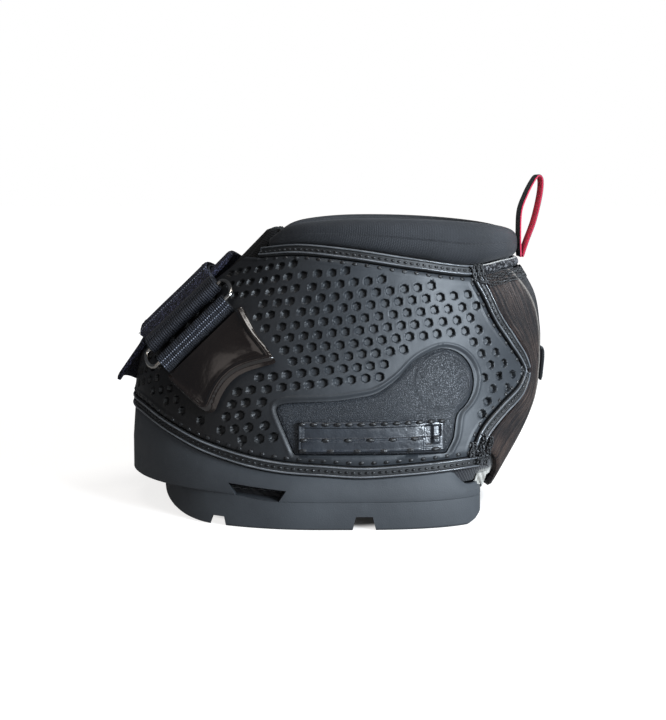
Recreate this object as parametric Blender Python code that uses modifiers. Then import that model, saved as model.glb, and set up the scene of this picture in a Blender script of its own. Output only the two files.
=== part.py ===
"""Horse hoof boot with a moulded upper, a cup sole and a ring-and-strap closure.

Metres, +Z up. The toe points to -X and the photographed side faces -Y.
The origin lies on the ground, on the flat tread under the middle of the sole.
Every wall of the upper is laid on one last, the form of the hoof and pastern,
given by its sections at rising heights. Far-side pieces mirror the near ones.
"""

from bisect import bisect_right
from math import asin, atan2, cos, pi, radians, sin, sqrt

import bmesh
import bpy
from mathutils import Matrix, Vector

# Driving dimensions
BOOT_HEIGHT = 0.125
TOE_REACH = 0.0735
HEEL_REACH = 0.104
LAST_HALF_WIDTH = 0.066
SOLE_REAR = 0.0747
RIM_HEIGHT = 0.0203
TOE_RIM_HEIGHT = 0.0412
GAP = 0.0003
OVERRUN = 0.020

# The last, from the ground up, in shares of the driving dimensions
HEIGHT_SHARES = (0.0, 0.16, 0.36, 0.48, 0.54, 0.60, 0.72, 0.84, 0.96, 1.0)
TOE_SHARES = (0.993, 0.993, 1.0, 0.973, 0.932, 0.837, 0.626, 0.422, 0.224, 0.163)
HEEL_SHARES = (0.700, 0.820, 0.968, 0.999, 1.0, 0.999, 0.976, 0.899, 0.860, 0.846)
WIDTH_SHARES = (1.0, 1.0, 0.985, 0.93, 0.90, 0.87, 0.81, 0.75, 0.705, 0.70)
MIDDLE_SHARES = (0.077, 0.077, 0.115, 0.144, 0.163, 0.183, 0.231, 0.279, 0.317, 0.327)
HEEL_POWER_SHARES = (3.4, 3.4, 2.3, 2.0, 2.0, 2.0, 2.0, 2.0, 2.0, 2.0)
PROBE = 0.0002
PROBE_ANGLE = 0.002

# Outsole
SOLE_WALL = 0.0034
SOLE_LIP = 0.0015
FLOOR_HEIGHT = 0.0112
FLOOR_FILLET = 0.0045
PARTING_HEIGHT = 0.0113
TOE_PARTING_HEIGHT = 0.0134
PARTING_EASE_SHARES = (0.34, 0.44)
PARTING_STEP = 0.0007
LEDGE_DEPTH = 0.0135
LEDGE_ANGLE_SHARES = (0.0, 0.10, 0.20, 0.28, 0.36)
LEDGE_DEPTH_SHARES = (1.0, 0.90, 0.42, 0.08, 0.0)
LEDGE_FLOOR_SHARE = 0.80
FILLET_SHARES = (0.10, 0.85)
TREAD_EDGE = 0.0012
SOLE_CORNER = 0.003
REAR_LIP_DROP = 0.0062
REAR_DROP_SHARES = (0.70, 0.733)
ROCKER_START = -0.036
ROCKER_SHARES = (
    (0.0, 0.0), (0.29, 0.08), (0.52, 0.20), (0.73, 0.42), (0.86, 0.64), (1.0, 1.0),
)
ROCKER_LENGTH = 0.0285
ROCKER_RISE = 0.0120
HEEL_BEVEL_LENGTH = 0.007
HEEL_BEVEL_RISE = 0.0055
GROOVES = ((-0.034, 0.0066, 0.0050, 0.0038), (0.0256, 0.0095, 0.0068, 0.0055))
FROG_TIP = 0.036
FROG_HALF_WIDTH = 0.021
FROG_DEPTH = 0.003
SLOT_MIDDLE = -0.0178
SLOT_TOP = 0.0239
SLOT_BOTTOM = 0.0179
SLOT_SILL = 0.0121
SLOT_HEIGHT = 0.0047
SLOT_SLOPE_SHARE = 0.085

# Insole board and liner
INSOLE_THICKNESS = 0.0022
LINER_THICKNESS = 0.0045
LINER_START = 0.0168
THROAT_HEIGHT_SHARES = (0.40, 0.50, 0.60, 0.72, 0.84, 0.96)
THROAT_WIDTH_SHARES = (0.15, 0.19, 0.25, 0.33, 0.41, 0.47)
THROAT_START_SHARE = 0.40

# Panels and the piped bands round them
PANEL_THICKNESS = 0.0026
SEAM_GAP = 0.0008
PANEL_SLIT_HEIGHT_SHARES = (0.49, 0.60, 0.72, 0.84, 0.96)
PANEL_SLIT_WIDTH_SHARES = (0.006, 0.09, 0.20, 0.335, 0.46)
BAND_WIDTH = 0.0048
BAND_PROUD = 0.0007
BAND_SHARES = (
    (0.0, 0.0), (0.0, 0.85), (0.12, 1.0), (0.30, 0.72), (0.70, 0.72), (0.88, 1.0), (1.0, 0.85), (1.0, 0.0),
)
TOP_ANGLE_SHARES = (0.192, 0.312, 0.457, 0.584, 0.70, 0.76, 0.83, 1.0)
TOP_HEIGHT_SHARES = (0.884, 0.904, 0.893, 0.865, 0.838, 0.838, 0.848, 0.853)
RIM_ANGLE_SHARES = (0.0, 0.08, 0.14, 0.235, 0.29, 0.34, 0.39, 0.44, 0.50, 0.565, 0.635, 0.73, 1.0)
RIM_RISE_SHARES = (1.0, 0.97, 0.91, 0.62, 0.43, 0.29, 0.17, 0.09, 0.045, 0.0, 0.045, 0.11, 0.11)
WELT_END_SHARE = 0.742
REAR_RISE_SHARES = (0.0, 0.10, 0.20, 0.30, 0.42, 0.52, 0.64, 0.80, 1.0)
REAR_ANGLE_SHARE = 0.742
REAR_SWING_SHARES = (0.0, 0.00832, 0.036608, 0.081536, 0.104832, 0.09152, 0.05824, 0.021632, 0.0)

# Sunk field and strap box on each side
FIELD_TIP = -0.0110
FIELD_FLOOR = 0.0300
FIELD_LENGTH = 0.0830
FIELD_RISE = 0.0410
FIELD_SHARES = ((0.0, 0.46), (0.06, 0.505), (0.32, 0.53), (0.50, 0.585), (0.60, 0.72), (0.69, 0.91))
FIELD_TAIL_SHARES = ((0.885, 0.14), (0.845, 0.0), (0.10, 0.0))
DISC_MIDDLE_SHARES = (0.83, 0.68)
DISC_RADIUS = 0.0139
DISC_ARC_SHARES = (0.56, -0.36)
FIELD_THICKNESS = 0.0014
BOX_START = -0.0010
BOX_LENGTH = 0.0590
BOX_SILL = 0.0310
BOX_RISE = 0.0125
BOX_THICKNESS = 0.0016
BOX_SLOTS = ((0.04, 0.62, 0.84, 0.80), (0.855, 0.20, 0.90, 0.80))

# Heel
HEEL_THICKNESS = 0.0026
HEEL_LOWER_ANGLE_SHARES = (0.745, 0.765, 0.80, 0.84, 0.885, 1.0)
HEEL_LOWER_RISES = (0.0085, 0.0082, 0.0022, -0.0060, -0.0105, -0.0105)
BINDING_WIDTH = 0.0040
STRIP_MIDDLE_SHARE = 0.472
STRIP_HEIGHT = 0.0135
STRIP_WIDTH = 0.016
STRIP_THICKNESS = 0.0013

# Collar and tongue
COLLAR_THICKNESS = 0.0125
COLLAR_PROUD = 0.0034
COLLAR_ANGLE_SHARES = (0.205, 0.26, 0.33, 0.45, 0.62, 0.80, 0.92, 1.0)
COLLAR_TOP_SHARES = (0.93, 0.972, 0.99, 1.0, 0.997, 0.975, 0.952, 0.94)
COLLAR_FULLNESS_SHARES = (0.45, 0.75, 1.0, 1.0, 1.0, 1.0, 1.0, 1.0)
TONGUE_THICKNESS = 0.0044
TONGUE_TOP_SHARE = 0.9696
TONGUE_PAD = 0.0040
TONGUE_CROWN_SHARE = 0.40
TONGUE_SIDE_GAP = 0.0026
TONGUE_FOOT_GAP = 0.0008

# Pull loop
LOOP_WIDTH = 0.014
LOOP_THICKNESS = 0.0010
LOOP_HEIGHT = 0.0362
LOOP_LEAN = 0.0085
LOOP_START_SHARE = 0.8576
LOOP_SHARES = (
    (0.0, 0.0), (0.02, 0.28), (0.10, 0.56), (0.40, 0.76), (0.72, 0.91), (1.00, 1.00), (1.20, 0.97), (1.22, 0.86),
    (1.10, 0.68), (0.82, 0.42), (0.44, 0.18), (0.26, 0.03),
)

# Closure, laid round the tilted front
STRAP_SLOPE_SHARE = 0.567826
STRAP_CORE_SHARES = (-0.271924, 0.40166)
STRAP_WIDTH = 0.040
STRAP_THICKNESS = 0.0014
RING_ANGLE = radians(42)
RING_STANDOFF = 0.0058
RING_WIRE = 0.0020
RING_SPAN = 0.0120
RING_BULGE = 0.0028
RING_END_PLAY = 0.0012
STRAP_FAR_END = radians(-80)
STRAP_FAR_DROP = radians(-62)
STRAP_FAR_RISE = radians(-50)
STRAP_NEAR_REST = radians(20)
END_FAR_END = radians(-42)
LAP_THICKNESS = 0.0022
LAP_CLEARANCE = 0.0006
LAP_LOWER = -0.0427
LAP_UPPER = 0.0315
LAP_TAKEOFF = -0.0255
LAP_SAG_SHARE = 0.20
LAP_NEAR_ANGLE = radians(17)
LAP_FAR_ANGLE = radians(-46)
LAP_LEVEL_SHARES = (0.0, 0.20, 0.30, 0.55, 0.90, 1.0)
LAP_SPREAD_SHARES = (0.55, 0.62, 0.95, 1.0, 1.0, 0.75)
TAB_THICKNESS = 0.0022
TAB_WIDTH = 0.0380
TAB_REACH = 0.0112
TAB_DROP = 0.0024
PLATE_SETBACK = 0.0117
PLATE_HALF_FRONT = 0.0220
PLATE_REACH = 0.0313
PLATE_DROP = 0.0277
PLATE_THICKNESS = 0.0028
PLATE_BORDER = 0.0022
PLATE_SINK = 0.0008
PLATE_SHARES = (
    (0.70, 0.17), (0.90, -0.09), (1.0, -0.25), (0.64, -0.36), (0.44, -0.48), (0.29, -0.69), (0.18, -1.0), (0.06, -1.0),
)

RUBBER = ("sole_rubber", (0.035, 0.037, 0.042), 0.72, 0.0)
MOULDED = ("panel_tpu", (0.030, 0.034, 0.044), 0.42, 0.0)
PIPING = ("piped_band", (0.026, 0.029, 0.036), 0.48, 0.0)
FOAM = ("liner_foam", (0.060, 0.062, 0.068), 0.92, 0.0)
KNIT = ("ribbed_knit", (0.055, 0.057, 0.062), 0.90, 0.0)
LEATHER = ("heel_leather", (0.045, 0.032, 0.026), 0.58, 0.0)
GRAINED = ("field_leather", (0.035, 0.036, 0.042), 0.62, 0.0)
BINDING = ("grey_binding", (0.32, 0.32, 0.33), 0.70, 0.0)
WEBBING = ("strap_webbing", (0.020, 0.023, 0.034), 0.88, 0.0)
PLATE = ("anchor_plastic", (0.022, 0.018, 0.017), 0.28, 0.0)
WIRE = ("ring_metal", (0.46, 0.38, 0.30), 0.28, 1.0)
RIBBON = ("loop_ribbon", (0.42, 0.02, 0.035), 0.66, 0.0)
BOARD = ("insole_board", (0.10, 0.095, 0.09), 0.90, 0.0)


def clear_scene():
    for item in list(bpy.data.objects):
        bpy.data.objects.remove(item)


def collection(name):
    group = bpy.data.collections.new(name)
    bpy.context.scene.collection.children.link(group)
    return group


def through(stations, values, at):
    """A smooth curve through (station, value) pairs, level beyond both ends."""
    if at <= stations[0]:
        return values[0]
    if at >= stations[-1]:
        return values[-1]
    right = bisect_right(stations, at)
    left = right - 1
    span = stations[right] - stations[left]

    def slope(i):
        before = max(i - 1, 0)
        after = min(i + 1, len(stations) - 1)
        return (values[after] - values[before]) / (stations[after] - stations[before])

    s = (at - stations[left]) / span
    start = values[left] * (1 + 2 * s) * (1 - s) ** 2 + slope(left) * span * s * (1 - s) ** 2
    end = values[right] * s * s * (3 - 2 * s) + slope(right) * span * s * s * (s - 1)
    return start + end


def ease(start, end, at):
    s = min(max((at - start) / (end - start), 0.0), 1.0)
    return s * s * (3 - 2 * s)


def last_section(height):
    share = height / BOOT_HEIGHT
    toe = -TOE_REACH * through(HEIGHT_SHARES, TOE_SHARES, share)
    heel = HEEL_REACH * through(HEIGHT_SHARES, HEEL_SHARES, share)
    half = LAST_HALF_WIDTH * through(HEIGHT_SHARES, WIDTH_SHARES, share)
    middle = HEEL_REACH * through(HEIGHT_SHARES, MIDDLE_SHARES, share)
    return toe, heel, half, middle


def heel_power(height):
    """The power of the heel's plan: two is an ellipse, and more is squarer."""
    return through(HEIGHT_SHARES, HEEL_POWER_SHARES, height / BOOT_HEIGHT)


def last_surface(angle, height):
    """The angle is 0 at the toe and grows past the near side to pi at the heel."""
    toe, heel, half, middle = last_section(height)
    if cos(angle) > 0:
        return Vector((middle - (middle - toe) * cos(angle), -half * sin(angle), height))
    power = heel_power(height)
    fullness = (abs(cos(angle)) ** power + abs(sin(angle)) ** power) ** (-1 / power)
    return Vector((middle - (heel - middle) * cos(angle) * fullness, -half * sin(angle) * fullness, height))


def last_normal(angle, height):
    round_way = last_surface(angle + PROBE_ANGLE, height) - last_surface(angle - PROBE_ANGLE, height)
    up_way = last_surface(angle, height + PROBE) - last_surface(angle, height - PROBE)
    return round_way.cross(up_way).normalized()


def on_last(angle, height, out=0.0):
    return last_surface(angle, height) + last_normal(angle, height) * out


def last_angle(point):
    """The angle at which a point near the last lies, from 0 to two pi."""
    toe, heel, half, middle = last_section(point.z)
    reach = middle - toe if point.x < middle else heel - middle
    return atan2(-point.y / half, (middle - point.x) / reach) % (2 * pi)


def beside_last_path(path, across):
    """The path moved sideways along the last: up from a path that runs from toe to heel."""
    moved = []
    for place, tangent in zip(path, path_tangents(path)):
        side = last_normal(*place).cross(tangent)
        point = last_surface(*place) + side * across
        moved.append((last_angle(point), point.z))
    return moved


def path_tangents(path):
    points = [last_surface(*place) for place in path]
    tangents = []
    for i in range(len(points)):
        before = points[max(i - 1, 0)]
        after = points[min(i + 1, len(points) - 1)]
        tangents.append((after - before).normalized())
    return tangents


def top_edge(angle):
    return BOOT_HEIGHT * through(TOP_ANGLE_SHARES, TOP_HEIGHT_SHARES, folded(angle))


def folded(angle):
    """The share of half a turn from the toe, alike on both sides."""
    turn = angle % (2 * pi)
    return min(turn, 2 * pi - turn) / pi


def rim_edge(angle):
    rise = through(RIM_ANGLE_SHARES, RIM_RISE_SHARES, folded(angle))
    return RIM_HEIGHT + (TOE_RIM_HEIGHT - RIM_HEIGHT) * rise


def welt_seat(angle, thickness):
    """The lowest height at which a wall of this thickness clears the welt, also where it leans out."""
    height = rim_edge(angle) + BAND_WIDTH + 2 * GAP
    return height + max(-last_normal(angle, height).z, 0.0) * (thickness + GAP)


def even(start, end, count):
    return [start + (end - start) * i / count for i in range(count + 1)]


def top_path(start_share, end_share, count):
    return [(share * pi, top_edge(share * pi)) for share in even(start_share, end_share, count)]


def rear_path(count):
    """The panel's rear edge, from the welt up to the band on its top edge."""
    foot = welt_seat(REAR_ANGLE_SHARE * pi, PANEL_THICKNESS + BAND_PROUD)
    head = top_edge(REAR_ANGLE_SHARE * pi) - BAND_WIDTH - 2 * GAP
    path = []
    for rise in even(0.0, 1.0, count):
        swing = through(REAR_RISE_SHARES, REAR_SWING_SHARES, rise) * BOOT_HEIGHT / HEEL_REACH
        path.append((pi * (REAR_ANGLE_SHARE + swing), foot + (head - foot) * rise))
    return path


def along(path, share):
    """A place on a path of (angle, height) points, by its share of the points."""
    at = share * (len(path) - 1)
    left = min(int(at), len(path) - 2)
    part = at - left
    return tuple(a + (b - a) * part for a, b in zip(path[left], path[left + 1]))


def patch(lower, upper, front, rear, u, v):
    """Blend four edge paths into a place between them."""
    low, high = along(lower, u), along(upper, u)
    fore, aft = along(front, v), along(rear, v)
    corners = (along(lower, 0.0), along(lower, 1.0), along(upper, 0.0), along(upper, 1.0))
    place = []
    for i in range(2):
        ruled = low[i] * (1 - v) + high[i] * v + fore[i] * (1 - u) + aft[i] * u
        flat = (corners[0][i] * (1 - u) + corners[1][i] * u) * (1 - v)
        flat += (corners[2][i] * (1 - u) + corners[3][i] * u) * v
        place.append(ruled - flat)
    return tuple(place)


def make_material(finish):
    name, colour, roughness, metallic = finish
    if name in bpy.data.materials:
        return bpy.data.materials[name]
    material = bpy.data.materials.new(name)
    material.use_nodes = True
    shader = material.node_tree.nodes["Principled BSDF"]
    shader.inputs["Base Color"].default_value = (*colour, 1)
    shader.inputs["Roughness"].default_value = roughness
    shader.inputs["Metallic"].default_value = metallic
    return material


def add_object(name, mesh, group, finish=None):
    item = bpy.data.objects.new(name, mesh)
    group.objects.link(item)
    if finish:
        mesh.materials.append(make_material(finish))
        mesh.shade_smooth()
        mesh.set_sharp_from_angle(angle=radians(35))
    return item


def sheet(name, group, columns, rows, place, finish=None):
    """An open surface: a grid whose vertices are moved to place(u, v)."""
    bm = bmesh.new()
    bmesh.ops.create_grid(bm, x_segments=columns, y_segments=rows, size=0.5)
    for vert in bm.verts:
        vert.co = place(vert.co.x + 0.5, vert.co.y + 0.5)
    mesh = bpy.data.meshes.new(name)
    bm.to_mesh(mesh)
    bm.free()
    return add_object(name, mesh, group, finish)


def loft(name, group, rings, finish=None, closed=False):
    """Walls between rings of points, with a cap on each end unless the run is closed."""
    bm = bmesh.new()
    loops = [[bm.verts.new(point) for point in ring] for ring in rings]
    pairs = list(zip(loops, loops[1:]))
    if closed:
        pairs.append((loops[-1], loops[0]))
    for one, two in pairs:
        for i in range(len(one)):
            j = (i + 1) % len(one)
            bm.faces.new((one[i], one[j], two[j], two[i]))
    if not closed:
        bm.faces.new(loops[0][::-1])
        bm.faces.new(loops[-1])
    bmesh.ops.recalc_face_normals(bm, faces=bm.faces)
    mesh = bpy.data.meshes.new(name)
    bm.to_mesh(mesh)
    bm.free()
    return add_object(name, mesh, group, finish)


def thicken(item, thickness, offset=1.0):
    modifier = item.modifiers.new("thickness", "SOLIDIFY")
    modifier.thickness = thickness
    modifier.offset = offset
    modifier.use_even_offset = True
    return item


def settle(item):
    """Make the evaluated shape the object's own mesh."""
    graph = bpy.context.evaluated_depsgraph_get()
    mesh = bpy.data.meshes.new_from_object(item.evaluated_get(graph))
    if item.type == "CURVE":
        bm = bmesh.new()
        bm.from_mesh(mesh)
        bmesh.ops.remove_doubles(bm, verts=bm.verts, dist=GAP / 10)
        bmesh.ops.recalc_face_normals(bm, faces=bm.faces)
        bm.to_mesh(mesh)
        bm.free()
        solid = bpy.data.objects.new(item.name, mesh)
        solid.matrix_world = item.matrix_world
        item.users_collection[0].objects.link(solid)
        name = item.name
        bpy.data.objects.remove(item)
        solid.name = name
        return solid
    item.modifiers.clear()
    item.data = mesh
    return item


def combine(item, tool, operation):
    modifier = item.modifiers.new(tool.name, "BOOLEAN")
    modifier.operation = operation
    modifier.object = tool
    tool.hide_render = True
    tool.display_type = "WIRE"


def carve(item, tools, operation="DIFFERENCE"):
    """Cut the object with each tool in turn and keep the result as its mesh."""
    for tool in tools:
        combine(item, tool, operation)
    item = settle(item)
    for tool in tools:
        bpy.data.objects.remove(tool)
    return item


def mirrored(item, name, group):
    """A copy on the far side of the boot."""
    mesh = item.data.copy()
    mesh.transform(Matrix.Scale(-1, 4, (0, 1, 0)))
    mesh.flip_normals()
    mesh.name = name
    copy = bpy.data.objects.new(name, mesh)
    group.objects.link(copy)
    return copy


def side_prism(name, group, outline, start, end):
    """A solid with an (x, z) outline that runs along Y from start to end."""
    curve = bpy.data.curves.new(name, "CURVE")
    curve.dimensions = "2D"
    curve.fill_mode = "BOTH"
    curve.extrude = abs(end - start) / 2
    spline = curve.splines.new("POLY")
    spline.points.add(len(outline) - 1)
    spline.use_cyclic_u = True
    for point, (x, z) in zip(spline.points, outline):
        point.co = (x, z, 0, 1)
    item = bpy.data.objects.new(name, curve)
    item.matrix_world = Matrix.Translation((0, (start + end) / 2, 0)) @ Matrix.Rotation(radians(90), 4, "X")
    group.objects.link(item)
    bpy.context.view_layer.update()
    return settle(item)


def last_sweep(name, group, path, thickness, width, finish, upright=False):
    """A piped band along a path on the last, reaching down or back from it."""
    rings = []
    for place, tangent in zip(path, path_tangents(path)):
        side = Vector((0, 0, 1)) if upright else last_normal(*place).cross(tangent)
        start = last_surface(*place)
        ring = []
        for across, out in BAND_SHARES:
            foot = start - side * (width * across)
            angle = place[0] if upright else last_angle(foot)
            normal = last_normal(angle, foot.z)
            if upright:
                normal.z = 0
                normal.normalize()
            ring.append(last_surface(angle, foot.z) + normal * (GAP + thickness * out))
        rings.append(ring)
    return loft(name, group, rings, finish)


def sole_top(angle):
    share = folded(angle)
    return rim_edge(angle) - REAR_LIP_DROP * ease(*REAR_DROP_SHARES, share)


def parting_height(angle):
    fall = ease(*PARTING_EASE_SHARES, folded(angle))
    return TOE_PARTING_HEIGHT + (PARTING_HEIGHT - TOE_PARTING_HEIGHT) * fall


def ledge(angle):
    """How far the tread stands back under the wall, most of all at the toe."""
    return PARTING_STEP + LEDGE_DEPTH * through(LEDGE_ANGLE_SHARES, LEDGE_DEPTH_SHARES, folded(angle))


def floor_inset(angle, share):
    """How far the sole's inner corner stands off its inner wall, by its share of the fillet."""
    return LEDGE_FLOOR_SHARE * (ledge(angle) - PARTING_STEP) + FLOOR_FILLET * share


def sole_point(angle, height, out, rear, corner=SOLE_CORNER):
    """A point of the sole's wall, which follows the last and is cut off squarely behind."""
    point = on_last(angle, max(height, RIM_HEIGHT), out)
    point.z = height
    short = rear - point.x
    point.x = rear - (sqrt(short * short + corner * corner) + short) / 2
    return point


def build_outsole(group, tools, count=64):
    angles = [2 * pi * i / count for i in range(count)]
    wall = GAP + SOLE_WALL
    rear = SOLE_REAR
    inner_rear = SOLE_REAR - SOLE_WALL
    inner, upper = FILLET_SHARES
    levels = [
        (lambda a: 0.0, lambda a: wall - TREAD_EDGE - ledge(a), rear - TREAD_EDGE),
        (lambda a: TREAD_EDGE, lambda a: wall - ledge(a), rear),
        (lambda a: parting_height(a), lambda a: wall - ledge(a), rear),
        (lambda a: parting_height(a) + GAP, lambda a: wall, rear),
        (lambda a: (parting_height(a) + sole_top(a)) / 2, lambda a: wall, rear),
        (lambda a: sole_top(a), lambda a: wall - SOLE_LIP, rear - SOLE_LIP),
        (lambda a: sole_top(a), lambda a: GAP, inner_rear),
        (lambda a: FLOOR_HEIGHT + FLOOR_FILLET, lambda a: GAP, inner_rear),
        (lambda a: FLOOR_HEIGHT + FLOOR_FILLET * upper, lambda a: GAP - floor_inset(a, inner), inner_rear),
        (lambda a: FLOOR_HEIGHT, lambda a: GAP - floor_inset(a, 1.0), inner_rear - FLOOR_FILLET),
    ]
    rings = []
    for height, out, back in levels:
        corner = SOLE_CORNER if back > inner_rear else GAP
        rings.append([sole_point(a, height(a), out(a), back, corner) for a in angles])
    sole = loft("outsole", group, rings, RUBBER)
    reach = LAST_HALF_WIDTH + OVERRUN
    cutters = []
    rocker = [(ROCKER_START - ROCKER_LENGTH * along_share, ROCKER_RISE * up) for along_share, up in ROCKER_SHARES]
    rocker += [(rocker[-1][0] - OVERRUN, rocker[-1][1]), (rocker[-1][0] - OVERRUN, -OVERRUN), (ROCKER_START, -OVERRUN)]
    cutters.append(side_prism("toe_rocker", tools, rocker, -reach, reach))
    heel = [
        (SOLE_REAR - HEEL_BEVEL_LENGTH, 0.0), (SOLE_REAR - HEEL_BEVEL_LENGTH, -OVERRUN),
        (SOLE_REAR + OVERRUN, -OVERRUN), (SOLE_REAR + OVERRUN, HEEL_BEVEL_RISE), (SOLE_REAR, HEEL_BEVEL_RISE),
    ]
    cutters.append(side_prism("heel_bevel", tools, heel, -reach, reach))
    for i, (middle, mouth, root, depth) in enumerate(GROOVES):
        outline = [
            (middle - mouth / 2, -OVERRUN), (middle + mouth / 2, -OVERRUN), (middle + mouth / 2, 0.0),
            (middle + root / 2, depth), (middle - root / 2, depth), (middle - mouth / 2, 0.0),
        ]
        cutters.append(side_prism(f"tread_groove_{i}", tools, outline, -reach, reach))
    slot = []
    for across, up in ((-SLOT_BOTTOM, 0.0), (SLOT_BOTTOM, 0.0), (SLOT_TOP, SLOT_HEIGHT), (-SLOT_TOP, SLOT_HEIGHT)):
        slot.append((SLOT_MIDDLE + across / 2, SLOT_SILL + up - SLOT_SLOPE_SHARE * across / 2))
    cutters.append(side_prism("drain_slots", tools, slot, -reach, reach))
    cutters.append(frog_cutter(tools))
    return carve(sole, cutters)


def frog_cutter(tools):
    """The wedge-shaped relief under the hoof's frog, open at the heel."""
    rings = []
    for level in (-OVERRUN, FROG_DEPTH):
        rings.append([
            Vector((FROG_TIP, 0, level)),
            Vector((SOLE_REAR + OVERRUN, -FROG_HALF_WIDTH, level)),
            Vector((SOLE_REAR + OVERRUN, FROG_HALF_WIDTH, level)),
        ])
    return loft("frog_relief", tools, rings)


def build_insole(group, count=48):
    angles = [2 * pi * i / count for i in range(count)]
    rear = SOLE_REAR - SOLE_WALL - FLOOR_FILLET - GAP
    rings = []
    for height in (FLOOR_HEIGHT + GAP, FLOOR_HEIGHT + GAP + INSOLE_THICKNESS):
        rings.append([sole_point(a, height, -floor_inset(a, 1.0) - GAP, rear) for a in angles])
    return loft("insole_board", group, rings, BOARD)


def throat_half(height):
    """Half the width of the gap in the lining's front."""
    return LAST_HALF_WIDTH * through(THROAT_HEIGHT_SHARES, THROAT_WIDTH_SHARES, height / BOOT_HEIGHT)


def build_liner(group, tools, columns=44, rows=9):
    rings = []
    for out in (-GAP, -GAP - LINER_THICKNESS):
        layer = []
        for row in range(rows + 1):
            ring = []
            for column in range(columns):
                angle = 2 * pi * column / columns
                height = LINER_START + (top_edge(angle) - LINER_START) * row / rows
                ring.append(on_last(angle, height, out))
            layer.append(ring)
        rings += layer if out == -GAP else layer[::-1]
    liner = loft("inner_liner", group, rings, FOAM, closed=True)
    heights = even(THROAT_START_SHARE * BOOT_HEIGHT, BOOT_HEIGHT, 5)
    rim = [(-throat_half(h), h) for h in heights] + [(throat_half(h), h) for h in heights[::-1]]
    middle = last_section(BOOT_HEIGHT)[3]
    start = -TOE_REACH - OVERRUN
    end = middle - TOE_REACH / 3
    rings = [[Vector((x, y, z)) for y, z in rim] for x in (start, end)]
    return carve(liner, [loft("throat", tools, rings)])


def slit_angle(height):
    half = LAST_HALF_WIDTH * through(PANEL_SLIT_HEIGHT_SHARES, PANEL_SLIT_WIDTH_SHARES, height / BOOT_HEIGHT)
    return asin(max(half, SEAM_GAP / 2) / last_section(height)[2])


def panel_edges(count=24):
    """The panel's four edge paths, one gap inside the piped bands round it."""
    top = top_path(TOP_ANGLE_SHARES[0], REAR_ANGLE_SHARE, count)
    upper = beside_last_path(top, -(BAND_WIDTH + 2 * GAP))
    rear = beside_last_path(rear_path(count), BAND_WIDTH + 3 * GAP)
    kept = [place for place in upper if place[0] < rear[-1][0] - PROBE_ANGLE]
    upper = kept + [(rear[-1][0], kept[-1][1])]
    start = slit_angle(welt_seat(0.0, PANEL_THICKNESS))
    lower = [(a, welt_seat(a, PANEL_THICKNESS)) for a in even(start, rear[0][0], count)]
    front = [(slit_angle(h), h) for h in even(lower[0][1], upper[0][1], count)]
    upper[0] = front[-1]
    rear[0] = lower[-1]
    rear[-1] = upper[-1]
    return lower, upper, front, rear


def field_outline(inset=0.0):
    """The sunk field in side view: a tail that sweeps up into a round end."""
    points = [(FIELD_TIP + FIELD_LENGTH * x, FIELD_FLOOR + FIELD_RISE * z) for x, z in FIELD_SHARES]
    middle = (FIELD_TIP + FIELD_LENGTH * DISC_MIDDLE_SHARES[0], FIELD_FLOOR + FIELD_RISE * DISC_MIDDLE_SHARES[1])
    for turn in even(DISC_ARC_SHARES[0] * pi, DISC_ARC_SHARES[1] * pi, 10):
        points.append((middle[0] + DISC_RADIUS * cos(turn), middle[1] + DISC_RADIUS * sin(turn)))
    points += [(FIELD_TIP + FIELD_LENGTH * x, FIELD_FLOOR + FIELD_RISE * z) for x, z in FIELD_TAIL_SHARES]
    return inset_outline(points, inset) if inset else points


def inset_outline(points, inset):
    """The outline moved inwards; its points run clockwise."""
    moved = []
    for i, (x, z) in enumerate(points):
        before, after = points[i - 1], points[(i + 1) % len(points)]
        first = Vector((x - before[0], z - before[1])).normalized()
        second = Vector((after[0] - x, after[1] - z)).normalized()
        inward = Vector((first.y + second.y, -first.x - second.x)).normalized()
        lean = max(inward.dot(Vector((first.y, -first.x))), 0.4)
        moved.append((x + inward.x * inset / lean, z + inward.y * inset / lean))
    return moved


def near_prism(name, tools, outline):
    return side_prism(name, tools, outline, -(LAST_HALF_WIDTH + OVERRUN), 0.0)


def blank(name, tools, angles, heights, columns, rows, lift, thickness):
    """A stretch of shell on the near side of the last, to be trimmed to an outline."""
    def place(u, v):
        angle = pi * (angles[0] + (angles[1] - angles[0]) * u)
        return on_last(angle, heights[0] + (heights[1] - heights[0]) * v, lift)

    return thicken(sheet(name, tools, columns, rows, place), thickness)


def finish_piece(item, name, group, finish):
    """Move a trimmed blank into the part under its own name and material."""
    for old in list(item.users_collection):
        old.objects.unlink(item)
    group.objects.link(item)
    item.name = name
    item.data.name = name
    item.data.materials.clear()
    item.data.materials.append(make_material(finish))
    item.data.shade_smooth()
    item.data.set_sharp_from_angle(angle=radians(35))
    return item


def build_side_panels(group, tools, columns=26, rows=12):
    lower, upper, front, rear = panel_edges()

    def place(u, v):
        return on_last(*patch(lower, upper, front, rear, u, v), GAP)

    panel = thicken(sheet("side_panel_near", group, columns, rows, place, MOULDED), PANEL_THICKNESS)
    box = inset_outline(box_outline(0.0, 0.0, 1.0, 1.0), -GAP)
    panel = carve(panel, [near_prism("field_cut", tools, field_outline()), near_prism("box_clearance", tools, box)])
    mirrored(panel, "side_panel_far", group)


def build_side_fields(group, tools):
    heights = (FIELD_FLOOR - BAND_WIDTH / 2, FIELD_FLOOR + FIELD_RISE + BAND_WIDTH)
    shell = blank("side_inlay_near", tools, (0.36, 0.84), heights, 22, 8, GAP, FIELD_THICKNESS)
    field = carve(shell, [near_prism("field_trim", tools, field_outline(GAP))], "INTERSECT")
    field = finish_piece(field, "side_inlay_near", group, GRAINED)
    mirrored(field, "side_inlay_far", group)


def box_outline(left, low, right, high):
    corners = ((left, low), (left, high), (right, high), (right, low))
    return [(BOX_START + BOX_LENGTH * x, BOX_SILL + BOX_RISE * z) for x, z in corners]


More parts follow.
